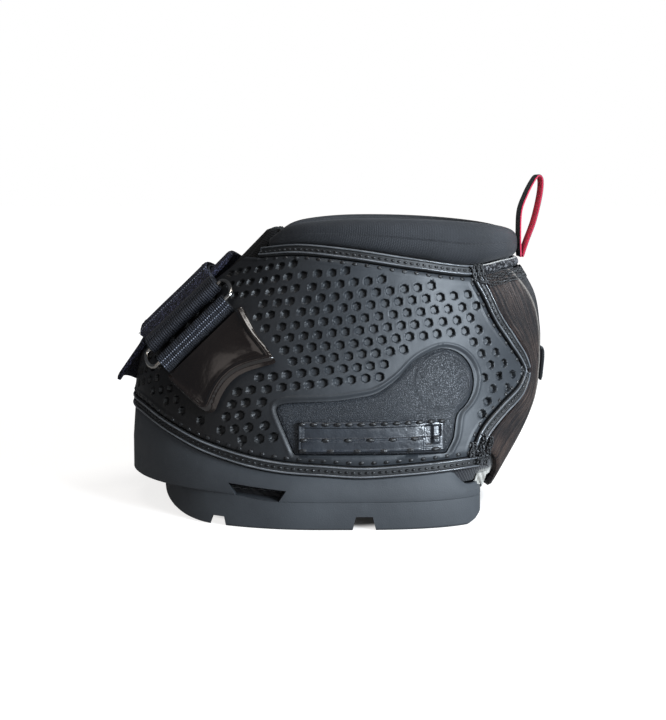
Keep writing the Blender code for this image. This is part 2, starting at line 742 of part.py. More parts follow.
def build_strap_boxes(group, tools):
    heights = (BOX_SILL - BAND_WIDTH / 4, BOX_SILL + BOX_RISE + BAND_WIDTH / 4)
    lift = FIELD_THICKNESS + 2 * GAP
    shell = blank("strap_box_near", tools, (0.42, 0.78), heights, 14, 3, lift, BOX_THICKNESS)
    box = carve(shell, [near_prism("box_trim", tools, box_outline(0.0, 0.0, 1.0, 1.0))], "INTERSECT")
    box = carve(box, [near_prism("box_slot", tools, box_outline(*slot)) for slot in BOX_SLOTS])
    box = finish_piece(box, "strap_box_near", group, PIPING)
    mirrored(box, "strap_box_far", group)


def build_bands(group):
    thickness = PANEL_THICKNESS + BAND_PROUD
    welt = []
    for share in even(-WELT_END_SHARE, WELT_END_SHARE, 56):
        angle = share * pi
        welt.append((angle, rim_edge(angle) + BAND_WIDTH + GAP))
    last_sweep("bottom_welt", group, welt, SOLE_WALL, BAND_WIDTH, PIPING, upright=True)
    top = top_path(TOP_ANGLE_SHARES[0], REAR_ANGLE_SHARE, 16)
    band = last_sweep("top_trim_near", group, top, thickness, BAND_WIDTH, PIPING)
    mirrored(band, "top_trim_far", group)
    rear = beside_last_path(rear_path(24), BAND_WIDTH)
    band = last_sweep("rear_trim_near", group, rear, thickness, BAND_WIDTH, PIPING)
    mirrored(band, "rear_trim_far", group)
    start = REAR_ANGLE_SHARE + GAP / LAST_HALF_WIDTH
    binding = top_path(start, 2 - start, 22)
    last_sweep("heel_binding", group, binding, HEEL_THICKNESS + GAP, BINDING_WIDTH, BINDING)


def build_heel_counter(group, columns=20, rows=12):
    near = beside_last_path(rear_path(rows * 2), -3 * GAP)
    low_shares, low_rises = HEEL_LOWER_ANGLE_SHARES, HEEL_LOWER_RISES
    near_low = near[0]
    angles = even(near_low[0], 2 * pi - near_low[0], columns * 2)
    lower = [(a, RIM_HEIGHT + through(low_shares, low_rises, folded(a))) for a in angles]
    near[0] = lower[0]
    near_high = near[-1]
    angles = even(near_high[0], 2 * pi - near_high[0], columns * 2)
    upper = [(a, top_edge(a) - BINDING_WIDTH - 2 * GAP) for a in angles]
    near[-1] = upper[0]
    far = [(2 * pi - a, h) for a, h in near]

    def place(u, v):
        return on_last(*patch(lower, upper, near, far, u, v), GAP)

    thicken(sheet("heel_counter", group, columns, rows, place, LEATHER), HEEL_THICKNESS)


def build_heel_strip(group):
    spread = STRIP_WIDTH / 2 / LAST_HALF_WIDTH

    def place(u, v):
        height = STRIP_MIDDLE_SHARE * BOOT_HEIGHT + STRIP_HEIGHT * (v - 0.5)
        return on_last(pi - spread + 2 * spread * u, height, HEEL_THICKNESS + 2 * GAP)

    thicken(sheet("heel_strip", group, 4, 3, place, WEBBING), STRIP_THICKNESS)


def build_collar(group, stations=44, sides=12):
    """A padded roll on the top edge, from one side of the throat round the heel to the other."""
    rings = []
    for share in even(COLLAR_ANGLE_SHARES[0], 2 - COLLAR_ANGLE_SHARES[0], stations):
        angle = share * pi
        turn = folded(angle)
        bottom = top_edge(angle) + GAP
        top = BOOT_HEIGHT * through(COLLAR_ANGLE_SHARES, COLLAR_TOP_SHARES, turn)
        full = through(COLLAR_ANGLE_SHARES, COLLAR_FULLNESS_SHARES, turn)
        seat = last_surface(angle, bottom)
        outward = last_normal(angle, bottom)
        outward.z = 0
        outward.normalize()
        ring = []
        for i in range(sides):
            way = 2 * pi * (i + 0.5) / sides
            out = COLLAR_PROUD * full - COLLAR_THICKNESS * full * (1 - cos(way)) / 2
            ring.append(seat + outward * out + Vector((0, 0, (top - bottom) * (1 + sin(way)) / 2)))
        rings.append(ring)
    loft("padded_collar", group, rings, KNIT)


def build_tongue(group, columns=8, rows=9):
    foot = THROAT_START_SHARE * BOOT_HEIGHT + TONGUE_FOOT_GAP
    top = TONGUE_TOP_SHARE * BOOT_HEIGHT
    rings = []
    for v in even(0.0, 1.0, rows):
        height = foot + (top - foot) * v
        crown = 1 - TONGUE_CROWN_SHARE * ease(0.65, 1.0, v)
        spread = asin(crown * (throat_half(height) - TONGUE_SIDE_GAP) / last_section(height)[2])
        pad = TONGUE_PAD * ease(0.55, 0.9, v)
        front = [on_last(spread * s, height, -GAP) for s in even(-1.0, 1.0, columns)]
        inner = -GAP - TONGUE_THICKNESS
        back = [on_last(spread * s, height, inner - pad * (1 - s * s)) for s in even(1.0, -1.0, columns)]
        rings.append(front + back)
    item = loft("tongue", group, rings, KNIT)
    hinge = on_last(0.0, foot, -GAP - TONGUE_THICKNESS)
    move_origin(item, hinge)
    return hinge


def move_origin(item, place):
    item.data.transform(Matrix.Translation(-place))
    item.location = place


def strip(name, group, centres, finish, thickness):
    """A ribbon through rows of centre points, thickened evenly about them."""
    columns, rows = len(centres) - 1, len(centres[0]) - 1

    def place(u, v):
        return centres[round(u * columns)][round(v * rows)]

    return thicken(sheet(name, group, columns, rows, place, finish), thickness, 0.0)


def build_pull_loop(group):
    start = LOOP_START_SHARE * BOOT_HEIGHT
    root = Vector((last_surface(pi, start).x + COLLAR_PROUD + GAP + LOOP_THICKNESS / 2, 0, start))
    centres = []
    for x, z in LOOP_SHARES:
        row = []
        for y in (-LOOP_WIDTH / 2, 0.0, LOOP_WIDTH / 2):
            row.append(Vector((LOOP_LEAN * x, y, LOOP_HEIGHT * z)))
        centres.append(row)
    item = strip("pull_loop", group, centres, RIBBON, LOOP_THICKNESS)
    item.location = root
    return root


def band_frame():
    level = Vector((TOE_REACH, 0, BOOT_HEIGHT * STRAP_SLOPE_SHARE)).normalized()
    front = Vector((-level.z, 0, level.x))
    return level, front


def band_point(level_at, turn, out, steps=30):
    """A point where a ray from the strap's core line leaves the last, raised by out."""
    level, front = band_frame()
    core_share, rise_share = STRAP_CORE_SHARES
    core = Vector((TOE_REACH * core_share, 0, BOOT_HEIGHT * rise_share)) + level * level_at
    way = front * cos(turn) + Vector((0, -sin(turn), 0))
    near, far = 0.0, BOOT_HEIGHT
    for step in range(steps):
        middle_way = (near + far) / 2
        if inside_last(core + way * middle_way):
            near = middle_way
        else:
            far = middle_way
    point = core + way * near
    return point + last_normal(last_angle(point), point.z) * out


def inside_last(point):
    toe, heel, half, middle = last_section(point.z)
    if point.x < middle:
        return ((middle - point.x) / (middle - toe)) ** 2 + (point.y / half) ** 2 < 1
    power = heel_power(point.z)
    return ((point.x - middle) / (heel - middle)) ** power + abs(point.y / half) ** power < 1


def ring_frame():
    """Centre of the ring, the way along its bars, its normal and the way to the rear bar."""
    bars = band_frame()[0]
    centre = band_point(0.0, RING_ANGLE, RING_STANDOFF)
    normal = (centre - band_point(0.0, RING_ANGLE, 0.0)).normalized()
    normal = (normal - bars * normal.dot(bars)).normalized()
    return centre, bars, normal, bars.cross(normal)


def build_ring(group, arc=8):
    centre, bars, normal, rearward = ring_frame()
    curve = bpy.data.curves.new("closure_ring", "CURVE")
    curve.dimensions = "3D"
    curve.bevel_depth = RING_WIRE / 2
    curve.bevel_resolution = 2
    straight = STRAP_WIDTH / 2 + RING_END_PLAY
    points = []
    for end in (1, -1):
        for i in range(arc + 1):
            turn = pi * i / arc
            points.append(
                bars * (end * (straight + RING_BULGE * sin(turn))) + rearward * (end * RING_SPAN / 2 * cos(turn))
            )
    spline = curve.splines.new("POLY")
    spline.points.add(len(points) - 1)
    spline.use_cyclic_u = True
    for point, place in zip(spline.points, points):
        point.co = (*place, 1)
    curve.materials.append(make_material(WIRE))
    item = bpy.data.objects.new("closure_ring", curve)
    item.location = centre
    group.objects.link(item)
    return item


def strap_bend(radius, steps=6):
    """Places (back, up) round the ring's front bar, from under it to over it."""
    return [(radius * cos(turn), radius * sin(turn)) for turn in even(-pi / 2, pi / 2, steps)]


def build_closure_strap(group, across=6):
    centre, bars, normal, rearward = ring_frame()
    front_bar = centre - rearward * RING_SPAN / 2
    low = GAP + PANEL_THICKNESS + GAP + STRAP_THICKNESS / 2
    high = low + LAP_THICKNESS + LAP_CLEARANCE
    rows = []
    offsets = even(-STRAP_WIDTH / 2, STRAP_WIDTH / 2, across)
    for turn in even(STRAP_FAR_END, STRAP_NEAR_REST, 20):
        rise = low + (high - low) * ease(STRAP_FAR_DROP, STRAP_FAR_RISE, turn)
        rows.append([band_point(p, turn, rise) for p in offsets])
    radius = RING_WIRE / 2 + GAP + STRAP_THICKNESS / 2
    lead = RING_SPAN / 2
    places = [(-lead, -radius * 1.2), (-lead / 3, -radius)] + strap_bend(radius) + [(-lead / 3, radius)]
    for back, up in places:
        rows.append([front_bar + rearward * back + normal * up + bars * p for p in offsets])
    strip("closure_strap", group, rows, WEBBING, STRAP_THICKNESS)


def build_strap_end(group, across=6):
    centre, bars, normal, rearward = ring_frame()
    front_bar = centre - rearward * RING_SPAN / 2
    radius = RING_WIRE / 2 + GAP + STRAP_THICKNESS / 2
    lead = RING_SPAN / 2
    hinge = front_bar - rearward * (lead / 3 + GAP) + normal * (radius + STRAP_THICKNESS / 2)
    high = GAP + PANEL_THICKNESS + GAP + LAP_THICKNESS + 2 * LAP_CLEARANCE + STRAP_THICKNESS * 1.5
    offsets = even(-STRAP_WIDTH / 2, STRAP_WIDTH / 2, across)
    rows = []
    for back, up in ((-lead / 3 - 2 * GAP, radius), (-lead, radius / 2), (-lead * 1.6, -radius / 4)):
        rows.append([front_bar + rearward * back + normal * up + bars * p for p in offsets])
    for turn in even(STRAP_NEAR_REST, END_FAR_END, 14):
        rows.append([band_point(p, turn, high) for p in offsets])
    for row in rows:
        for i in range(len(row)):
            row[i] = row[i] - hinge
    item = strip("strap_end", group, rows, WEBBING, STRAP_THICKNESS)
    item.location = hinge
    return hinge, bars


def build_under_flap(group, columns=12, rows=16):
    """A stiff lap under the strap; below the toe's bend it runs straight on as a square tab."""
    level, front = band_frame()

    def place(u, v):
        height = LAP_LOWER + (LAP_UPPER - LAP_LOWER) * v
        spread = through(LAP_LEVEL_SHARES, LAP_SPREAD_SHARES, v)
        turn = (LAP_FAR_ANGLE + (LAP_NEAR_ANGLE - LAP_FAR_ANGLE) * u) * spread
        short = max(LAP_TAKEOFF - height, 0.0)
        point = band_point(max(height, LAP_TAKEOFF), turn, GAP + PANEL_THICKNESS + GAP)
        return point - level * short - front * (short * LAP_SAG_SHARE)

    thicken(sheet("under_flap", group, columns, rows, place, WEBBING), LAP_THICKNESS)


def build_ring_tab(group, arc=12):
    """Webbing sewn round the ring's rear bar, with its tail against the anchor plate."""
    centre, bars, normal, rearward = ring_frame()
    inner = RING_WIRE / 2 + GAP
    outer = inner + TAB_THICKNESS / 2
    curve = bpy.data.curves.new("ring_tab", "CURVE")
    curve.dimensions = "2D"
    curve.fill_mode = "BOTH"
    curve.extrude = TAB_WIDTH / 2
    reach = TAB_REACH - RING_SPAN / 2
    round_part = [(outer * cos(t), outer * sin(t)) for t in even(pi * 0.35, pi * 1.75, arc)]
    tail = [
        (reach, -TAB_DROP - TAB_THICKNESS / 2), (reach, -TAB_DROP + TAB_THICKNESS / 2),
    ]
    hole = [(inner * cos(t), inner * sin(t)) for t in even(0.0, 2 * pi, arc)[:-1]]
    for outline in (round_part + tail, hole):
        spline = curve.splines.new("POLY")
        spline.points.add(len(outline) - 1)
        spline.use_cyclic_u = True
        for point, (back, up) in zip(spline.points, outline):
            point.co = (back, up, 0, 1)
    item = bpy.data.objects.new("ring_tab", curve)
    group.objects.link(item)
    rear_bar = centre + rearward * RING_SPAN / 2
    turn = Matrix((rearward, normal, rearward.cross(normal))).transposed().to_4x4()
    item.matrix_world = Matrix.Translation(rear_bar) @ turn
    bpy.context.view_layer.update()
    item = settle(item)
    return finish_piece(item, "ring_tab", group, WEBBING)


def plate_outline():
    """The anchor plate in side view: a straight front by the ring and a hooked rear."""
    centre, bars, normal, rearward = ring_frame()
    under = centre + rearward * PLATE_SETBACK - normal * RING_STANDOFF
    root = on_last(last_angle(under), under.z, PANEL_THICKNESS + 2 * GAP)
    low = root - bars * PLATE_HALF_FRONT
    high = root + bars * PLATE_HALF_FRONT
    points = [(low.x, low.z), (high.x, high.z)]
    points += [(root.x + PLATE_REACH * x, root.z + PLATE_DROP * z) for x, z in PLATE_SHARES]
    return points


def build_anchor_plate(group, tools):
    heights = (FIELD_FLOOR, BOOT_HEIGHT * 0.82)
    lift = PANEL_THICKNESS + 2 * GAP
    shell = blank("anchor_plate", tools, (0.10, 0.56), heights, 20, 12, lift, PLATE_THICKNESS)
    plate = carve(shell, [near_prism("plate_trim", tools, plate_outline())], "INTERSECT")
    sunk = blank("plate_sink", tools, (0.10, 0.56), heights, 20, 12, lift + PLATE_THICKNESS - PLATE_SINK, OVERRUN / 4)
    inner = inset_outline(plate_outline(), PLATE_BORDER)
    sunk = carve(sunk, [near_prism("plate_sink_trim", tools, inner)], "INTERSECT")
    plate = carve(plate, [sunk])
    return finish_piece(plate, "anchor_plate", group, PLATE)


def main():
    clear_scene()
    boot = collection("horse_hoof_boot")
    tools = collection("cutters")
    build_outsole(boot, tools)
    build_insole(boot)
    build_liner(boot, tools)
    build_side_panels(boot, tools)
    build_side_fields(boot, tools)
    build_strap_boxes(boot, tools)
    build_bands(boot)
    build_heel_counter(boot)
    build_heel_strip(boot)
    build_collar(boot)
    build_tongue(boot)
    build_pull_loop(boot)
    build_under_flap(boot)
    build_closure_strap(boot)
    build_strap_end(boot)
    build_ring(boot)
    build_ring_tab(boot)
    build_anchor_plate(boot, tools)


main()
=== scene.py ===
"""Horse hoof boot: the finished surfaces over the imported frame.

Metres, +Z up, toe to -X, the closure's side to -Y. Walls are laid on the last
by (angle, height) as in the part's source, and far-side walls mirror near ones.
"""

from math import cos, pi, radians, sin, tau

import bmesh
import bpy
import numpy as np
from mathutils import Matrix, Vector


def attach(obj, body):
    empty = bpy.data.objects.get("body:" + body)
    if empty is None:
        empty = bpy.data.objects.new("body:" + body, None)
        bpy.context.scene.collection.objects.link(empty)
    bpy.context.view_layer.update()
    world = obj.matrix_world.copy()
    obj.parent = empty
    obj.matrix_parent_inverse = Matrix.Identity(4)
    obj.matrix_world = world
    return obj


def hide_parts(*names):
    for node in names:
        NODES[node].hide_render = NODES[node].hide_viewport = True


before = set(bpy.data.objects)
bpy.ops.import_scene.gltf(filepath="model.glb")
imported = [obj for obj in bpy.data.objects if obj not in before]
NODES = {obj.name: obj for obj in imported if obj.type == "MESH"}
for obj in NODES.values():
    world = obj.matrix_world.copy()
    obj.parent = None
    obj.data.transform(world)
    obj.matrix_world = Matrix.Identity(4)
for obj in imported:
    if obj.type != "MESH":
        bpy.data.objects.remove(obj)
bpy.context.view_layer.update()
for item in NODES.values():
    item.data.shade_smooth()

# The last and the bands on it, as in the part's source
BOOT_HEIGHT, TOE_REACH, HEEL_REACH, LAST_HALF_WIDTH = 0.125, 0.0735, 0.104, 0.066
HEIGHTS = (0.0, 0.16, 0.36, 0.48, 0.54, 0.60, 0.72, 0.84, 0.96, 1.0)
TOES = (0.993, 0.993, 1.0, 0.973, 0.932, 0.837, 0.626, 0.422, 0.224, 0.163)
HEELS = (0.700, 0.820, 0.968, 0.999, 1.0, 0.999, 0.976, 0.899, 0.860, 0.846)
WIDTHS = (1.0, 1.0, 0.985, 0.93, 0.90, 0.87, 0.81, 0.75, 0.705, 0.70)
MIDDLES = (0.077, 0.077, 0.115, 0.144, 0.163, 0.183, 0.231, 0.279, 0.317, 0.327)
POWERS = (3.4, 3.4, 2.3, 2.0, 2.0, 2.0, 2.0, 2.0, 2.0, 2.0)
GAP = 0.0003
SOLE_REAR, SOLE_WALL, PANEL, BAND_WIDTH, BAND_PROUD = 0.0747, 0.0034, 0.0026, 0.0048, 0.0007
RIM_HEIGHT, TOE_RIM_HEIGHT = 0.0203, 0.0412
RIM_ANGLES = (0.0, 0.08, 0.14, 0.235, 0.29, 0.34, 0.39, 0.44, 0.50, 0.565, 0.635, 0.73, 1.0)
RIM_RISES = (1.0, 0.97, 0.91, 0.62, 0.43, 0.29, 0.17, 0.09, 0.045, 0.0, 0.045, 0.11, 0.11)
TOP_ANGLES = (0.192, 0.312, 0.457, 0.584, 0.70, 0.76, 0.83, 1.0)
TOP_HEIGHTS = (0.884, 0.904, 0.893, 0.865, 0.838, 0.838, 0.848, 0.853)
REAR_RISES = (0.0, 0.10, 0.20, 0.30, 0.42, 0.52, 0.64, 0.80, 1.0)
REAR_ANGLES = (0.742, 0.752, 0.786, 0.840, 0.868, 0.852, 0.812, 0.768, 0.742)
SLIT_HEIGHTS = (0.49, 0.60, 0.72, 0.84, 0.96)
SLIT_WIDTHS = (0.006, 0.09, 0.20, 0.335, 0.46)
THROAT_HEIGHTS = (0.40, 0.50, 0.60, 0.72, 0.84, 0.96)
THROAT_WIDTHS = (0.15, 0.19, 0.25, 0.33, 0.41, 0.47)

# The camera: its place, lens and film in millimetres, and the frame's height and horizon in its own steps
CAMERA_X, CAMERA_BACK, CAMERA_HEIGHT = 0.013, 0.600, 0.138
LENS, FILM, FRAME_HIGH, HORIZON = 66.0, 36.0, 720, 187.6
PICTURE_SCALE = LENS * FRAME_HIGH / FILM


def through(stations, values, at):
    st, va, at = np.array(stations), np.array(values), np.asarray(at, float)
    i = np.clip(np.searchsorted(st, at, side="right") - 1, 0, len(st) - 2)
    span = st[i + 1] - st[i]
    n = np.arange(len(st))
    before, after = np.maximum(n - 1, 0), np.minimum(n + 1, len(st) - 1)
    slope = (va[after] - va[before]) / (st[after] - st[before])
    s = np.clip((at - st[i]) / span, 0, 1)
    start = va[i] * (1 + 2 * s) * (1 - s) ** 2 + slope[i] * span * s * (1 - s) ** 2
    return start + va[i + 1] * s * s * (3 - 2 * s) + slope[i + 1] * span * s * s * (s - 1)


def ease(start, end, at):
    s = np.clip((np.asarray(at, float) - start) / (end - start), 0, 1)
    return s * s * (3 - 2 * s)


def bell(at, middle, width):
    return np.exp(-(((at - middle) / width) ** 2))


def between(at, start, full, fade, end):
    """A share that rises to one, stays there and falls again."""
    return ease(start, full, at) * (1 - ease(fade, end, at))


def shares(columns, rows):
    return np.meshgrid(np.linspace(0, 1, columns + 1), np.linspace(0, 1, rows + 1))


def section(height):
    """The last's toe, heel, half width, middle and squareness at a height."""
    share = np.asarray(height, float) / BOOT_HEIGHT
    return (-TOE_REACH * through(HEIGHTS, TOES, share), HEEL_REACH * through(HEIGHTS, HEELS, share),
            LAST_HALF_WIDTH * through(HEIGHTS, WIDTHS, share), HEEL_REACH * through(HEIGHTS, MIDDLES, share),
            through(HEIGHTS, POWERS, share))


def surface(angle, height):
    angle, height = np.broadcast_arrays(np.asarray(angle, float), np.asarray(height, float))
    toe, heel, half, middle, power = section(height)
    c, s = np.cos(angle), np.sin(angle)
    full = np.where(c > 0, 1.0, (np.abs(c) ** power + np.abs(s) ** power + 1e-12) ** (-1 / power))
    reach = np.where(c > 0, middle - toe, heel - middle)
    return np.stack((middle - reach * c * full, -half * s * full, height), -1)


def unit(v):
    return v / np.maximum(np.linalg.norm(v, axis=-1, keepdims=True), 1e-12)


def normal(angle, height):
    angle, height = np.broadcast_arrays(np.asarray(angle, float), np.asarray(height, float))
    around = surface(angle + 0.002, height) - surface(angle - 0.002, height)
    up = surface(angle, height + 0.0002) - surface(angle, height - 0.0002)
    return unit(np.cross(around, up))


def raised(base, face, out):
    return base + face * np.asarray(out, float)[..., None]


def laid(angle, height, out):
    return raised(surface(angle, height), normal(angle, height), out)


def angle_of(p):
    toe, heel, half, middle, _ = section(p[..., 2])
    reach = np.where(p[..., 0] < middle, middle - toe, heel - middle)
    return np.arctan2(-p[..., 1] / half, (middle - p[..., 0]) / reach) % tau


def folded(angle):
    turn = np.asarray(angle) % tau
    return np.minimum(turn, tau - turn) / pi


def top_edge(angle):
    return BOOT_HEIGHT * through(TOP_ANGLES, TOP_HEIGHTS, folded(angle))


def rim_edge(angle):
    return RIM_HEIGHT + (TOE_RIM_HEIGHT - RIM_HEIGHT) * through(RIM_ANGLES, RIM_RISES, folded(angle))


def welt_seat(angle, thickness):
    height = rim_edge(angle) + BAND_WIDTH + 2 * GAP
    return height + np.maximum(-normal(angle, height)[..., 2], 0) * (thickness + GAP)


def tangents(points):
    padded = np.concatenate((points[:1], points, points[-1:]))
    return unit(padded[2:] - padded[:-2])


def beside(angle, height, across):
    """A path on the last, moved sideways along it."""
    points = surface(angle, height)
    side = np.cross(normal(angle, height), tangents(points))
    moved = points + side * across
    return angle_of(moved), moved[:, 2]


def rear_path(count):
    foot = welt_seat(REAR_ANGLES[0] * pi, PANEL + BAND_PROUD)
    head = top_edge(REAR_ANGLES[-1] * pi) - BAND_WIDTH - 2 * GAP
    rise = np.linspace(0, 1, count + 1)
    return pi * through(REAR_RISES, REAR_ANGLES, rise), foot + (head - foot) * rise


def patch(lower, upper, front, rear, u, v):
    """The grid of (angle, height) that four edge paths span."""
    def along(path, share):
        at = share * (len(path[0]) - 1)
        return np.stack([np.interp(at, np.arange(len(path[0])), part) for part in path])

    low, high, fore, aft = along(lower, u), along(upper, u), along(front, v), along(rear, v)
    ends = [(path, np.array(end)) for path in (lower, upper) for end in (0.0, 1.0)]
    corner = [along(*end).reshape(2, *([1] * u.ndim)) for end in ends]
    ruled = low * (1 - v) + high * v + fore * (1 - u) + aft * u
    flat = (corner[0] * (1 - u) + corner[1] * u) * (1 - v) + (corner[2] * (1 - u) + corner[3] * u) * v
    return ruled - flat


# Meshes

def linked(name, data):
    item = bpy.data.objects.new(name, data)
    bpy.context.scene.collection.objects.link(item)
    return item


def object_from(name, points, faces, uv=None, material=None):
    mesh = bpy.data.meshes.new(name)
    mesh.from_pydata(np.asarray(points, float).reshape(-1, 3).tolist(), [], faces)
    if uv is not None:
        layer = mesh.uv_layers.new(name="UVMap")
        index = np.empty(len(mesh.loops), int)
        mesh.loops.foreach_get("vertex_index", index)
        layer.data.foreach_set("uv", np.asarray(uv, float).reshape(-1, 2)[index].ravel())
    mesh.validate()
    mesh.shade_smooth()
    if material:
        mesh.materials.append(material)
    return linked(name, mesh)


def mark(item, name, values):
    """Give each vertex a number that a material or a node tree reads."""
    item.data.attributes.new(name, "FLOAT", "POINT").data.foreach_set("value", np.asarray(values, float))


def quads(index):
    corners = (index[:-1, :-1], index[:-1, 1:], index[1:, 1:], index[1:, :-1])
    return np.stack([corner.ravel() for corner in corners], 1)


def rim_of(index):
    return np.concatenate((index[0, :-1], index[:-1, -1], index[-1, :0:-1], index[:0:-1, 0]))


def slab(name, outer, inner, material, uv=None, coarse=1):
    """A closed wall between two grids of points; the back may keep only one point in so many."""
    inner = inner[::coarse, ::coarse]
    front = np.arange(outer.size // 3).reshape(outer.shape[:2])
    back = np.arange(inner.size // 3).reshape(inner.shape[:2]) + front.size
    points = np.concatenate((outer.reshape(-1, 3), inner.reshape(-1, 3)))
    faces = quads(front).tolist() + quads(back)[:, ::-1].tolist()
    near, far = rim_of(front), rim_of(back)
    for i, one in enumerate(far):
        span = [int(near[(i * coarse + k) % len(near)]) for k in range(coarse + 1)]
        faces.append(span[::-1] + [int(one), int(far[(i + 1) % len(far)])])
    if uv is not None:
        uv = np.concatenate((uv.reshape(-1, 2), uv[::coarse, ::coarse].reshape(-1, 2)))
    return outward(object_from(name, points, faces, uv, material))


def outward(item):
    bm = bmesh.new()
    bm.from_mesh(item.data)
    bmesh.ops.recalc_face_normals(bm, faces=bm.faces)
    if bm.calc_volume(signed=True) < 0:
        bmesh.ops.reverse_faces(bm, faces=bm.faces)
    bm.to_mesh(item.data)
    bm.free()
    return item


def tube(name, rings, material, closed=False, uv=None):
    """A closed skin through rings of points, with a cap on each end unless the run is closed."""
    n, m = rings.shape[:2]
    points = rings.reshape(-1, 3)
    index = np.arange(n * m).reshape(n, m)
    faces = []
    for i in range(n if closed else n - 1):
        one, two = index[i], index[(i + 1) % n]
        faces += np.stack((one, np.roll(one, -1), np.roll(two, -1), two), 1).tolist()
    if not closed:
        extra = [rings[0].mean(0), rings[-1].mean(0)]
        points = np.concatenate((points, extra))
        for ring, centre in ((index[0][::-1], n * m), (index[-1], n * m + 1)):
            faces += [[int(ring[k]), int(ring[(k + 1) % m]), centre] for k in range(m)]
        if uv is not None:
            uv = np.concatenate((uv.reshape(-1, 2), uv[0].mean(0)[None], uv[-1].mean(0)[None]))
    return outward(object_from(name, points, faces, uv, material))


def lengths(points, axis):
    step = np.linalg.norm(np.diff(points, axis=axis), axis=-1)
    pad = [(0, 0)] * step.ndim
    pad[axis] = (1, 0)
    return np.cumsum(np.pad(step, pad), axis=axis)


def metric_uv(points):
    """A map in metres, from each point's run along its row and its column."""
    return np.stack((lengths(points, 1), lengths(points, 0)), -1)


def edge_rooms(uv):
    """How far each point of a map lies from its low, high, front and rear edge."""
    x, y = uv[..., 0], uv[..., 1]
    return y, y.max(0) - y, x, x.max(1)[:, None] - x


def settled(item):
    """The piece as a plain mesh, its modifiers applied."""
    graph = bpy.context.evaluated_depsgraph_get()
    mesh = bpy.data.meshes.new_from_object(item.evaluated_get(graph))
    item.modifiers.clear()
    item.data = mesh
    return item


def prism(name, outline, start, end):
    """A solid with an (x, z) outline that runs along Y."""
    outline = np.asarray(outline, float)
    count = len(outline)
    sides = [np.stack((outline[:, 0], np.full(count, y), outline[:, 1]), 1) for y in (start, end)]
    faces = [list(range(count)), list(range(2 * count - 1, count - 1, -1))]
    faces += [[i, i + count, (i + 1) % count + count, (i + 1) % count] for i in range(count)]
    return outward(object_from(name, np.concatenate(sides), faces))


def cut(item, tools, operation="DIFFERENCE"):
    for tool in tools:
        modifier = item.modifiers.new("cut", "BOOLEAN")
        modifier.operation = operation
        modifier.solver = "MANIFOLD"
        modifier.object = tool
    settled(item)
    for tool in tools:
        bpy.data.objects.remove(tool)
    return item


def crisp(item, angle=38):
    item.data.shade_smooth()
    item.data.set_sharp_from_angle(angle=radians(angle))
    return item


def place(item, body, *nodes):
    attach(item, body)
    if nodes:
        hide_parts(*nodes)


def place_pair(item, *nodes):
    """A near piece, and its twin on the far side."""
    place(item, "root", *nodes)
    mesh = item.data.copy()
    mesh.transform(Matrix.Scale(-1, 4, (0, 1, 0)))
    mesh.flip_normals()
    mesh.name = item.name.replace("near", "far")
    place(linked(mesh.name, mesh), "root", *(node.replace("near", "far") for node in nodes))


# Shader helpers

FLOAT = "NodeSocketFloat"


class Sheet:
    """Short calls for one node tree."""

    def __init__(self, tree):
        self.tree = tree

    def add(self, kind, *inputs, **named):
        """A node, with its settings and sockets by name and its first sockets in order."""
        node = self.tree.nodes.new(kind)
        for key, value in named.items():
            if hasattr(node, key):
                setattr(node, key, value)
            else:
                self.feed(node.inputs[key], value)
        for socket, value in zip(node.inputs, inputs):
            self.feed(socket, value)
        return node

    def feed(self, socket, value):
        if isinstance(value, bpy.types.NodeSocket):
            self.tree.links.new(value, socket)
        elif isinstance(value, tuple) and len(value) == 3 and socket.type == "RGBA":
            socket.default_value = (*value, 1)
        else:
            socket.default_value = value

    def math(self, operation, a, b=0.0):
        return self.add("ShaderNodeMath", a, b, operation=operation).outputs[0]

    def times(self, a, b):
        return self.math("MULTIPLY", a, b)

    def plus(self, a, b):
        return self.math("ADD", a, b)

    def vector(self, operation, *inputs):
        return self.add("ShaderNodeVectorMath", *inputs, operation=operation).outputs

    def span(self, value, low, high, start=0.0, end=1.0, smooth=False):
        node = self.add("ShaderNodeMapRange", value, low, high, start, end)
        if smooth:
            node.interpolation_type = "SMOOTHSTEP"
        return node.outputs[0]

    def mix(self, share, one, two):
        node = self.add("ShaderNodeMix", share, data_type="RGBA")
        self.feed(node.inputs[6], one)
        self.feed(node.inputs[7], two)
        return node.outputs[2]

    def noise(self, vector, scale, detail=2.0, roughness=0.5):
        node = self.add("ShaderNodeTexNoise", Vector=vector, Scale=scale, Detail=detail, Roughness=roughness)
        return node.outputs

    def axes(self, vector):
        return self.add("ShaderNodeSeparateXYZ", vector).outputs

    def marked(self, name):
        """The number that the piece's vertices carry under a name."""
        return self.add("ShaderNodeAttribute", attribute_name=name).outputs["Fac"]

    def use(self, tree, *inputs):
        return self.add("ShaderNodeGroup", *inputs, node_tree=tree).outputs


def group(name, scales, outputs):
    """An empty shader group that takes a vector and named scales."""
    tree = bpy.data.node_groups.new(name, "ShaderNodeTree")
    tree.interface.new_socket(name="Vector", in_out="INPUT", socket_type="NodeSocketVector")
    for label, value in scales:
        tree.interface.new_socket(name=label, in_out="INPUT", socket_type=FLOAT).default_value = value
    for label in outputs:
        tree.interface.new_socket(name=label, in_out="OUTPUT", socket_type=FLOAT)
    return Sheet(tree), tree.nodes.new("NodeGroupInput").outputs, tree.nodes.new("NodeGroupOutput").inputs


def mottle_group():
    """Slow patches, fine grain and rare scuffs."""
    g, inside, out = group("mottle", (("Patch scale", 35.0), ("Grain scale", 2200.0)),
                           ("Patches", "Grain", "Scuffs"))
    g.feed(out[0], g.span(g.noise(inside[0], inside[1], 4.0, 0.6)[0], 0.3, 0.7))
    g.feed(out[1], g.noise(inside[0], inside[2])[0])
    g.feed(out[2], g.span(g.noise(inside[0], g.times(inside[1], 6.0), 6.0, 0.75)[0], 0.62, 0.78))
    return g.tree


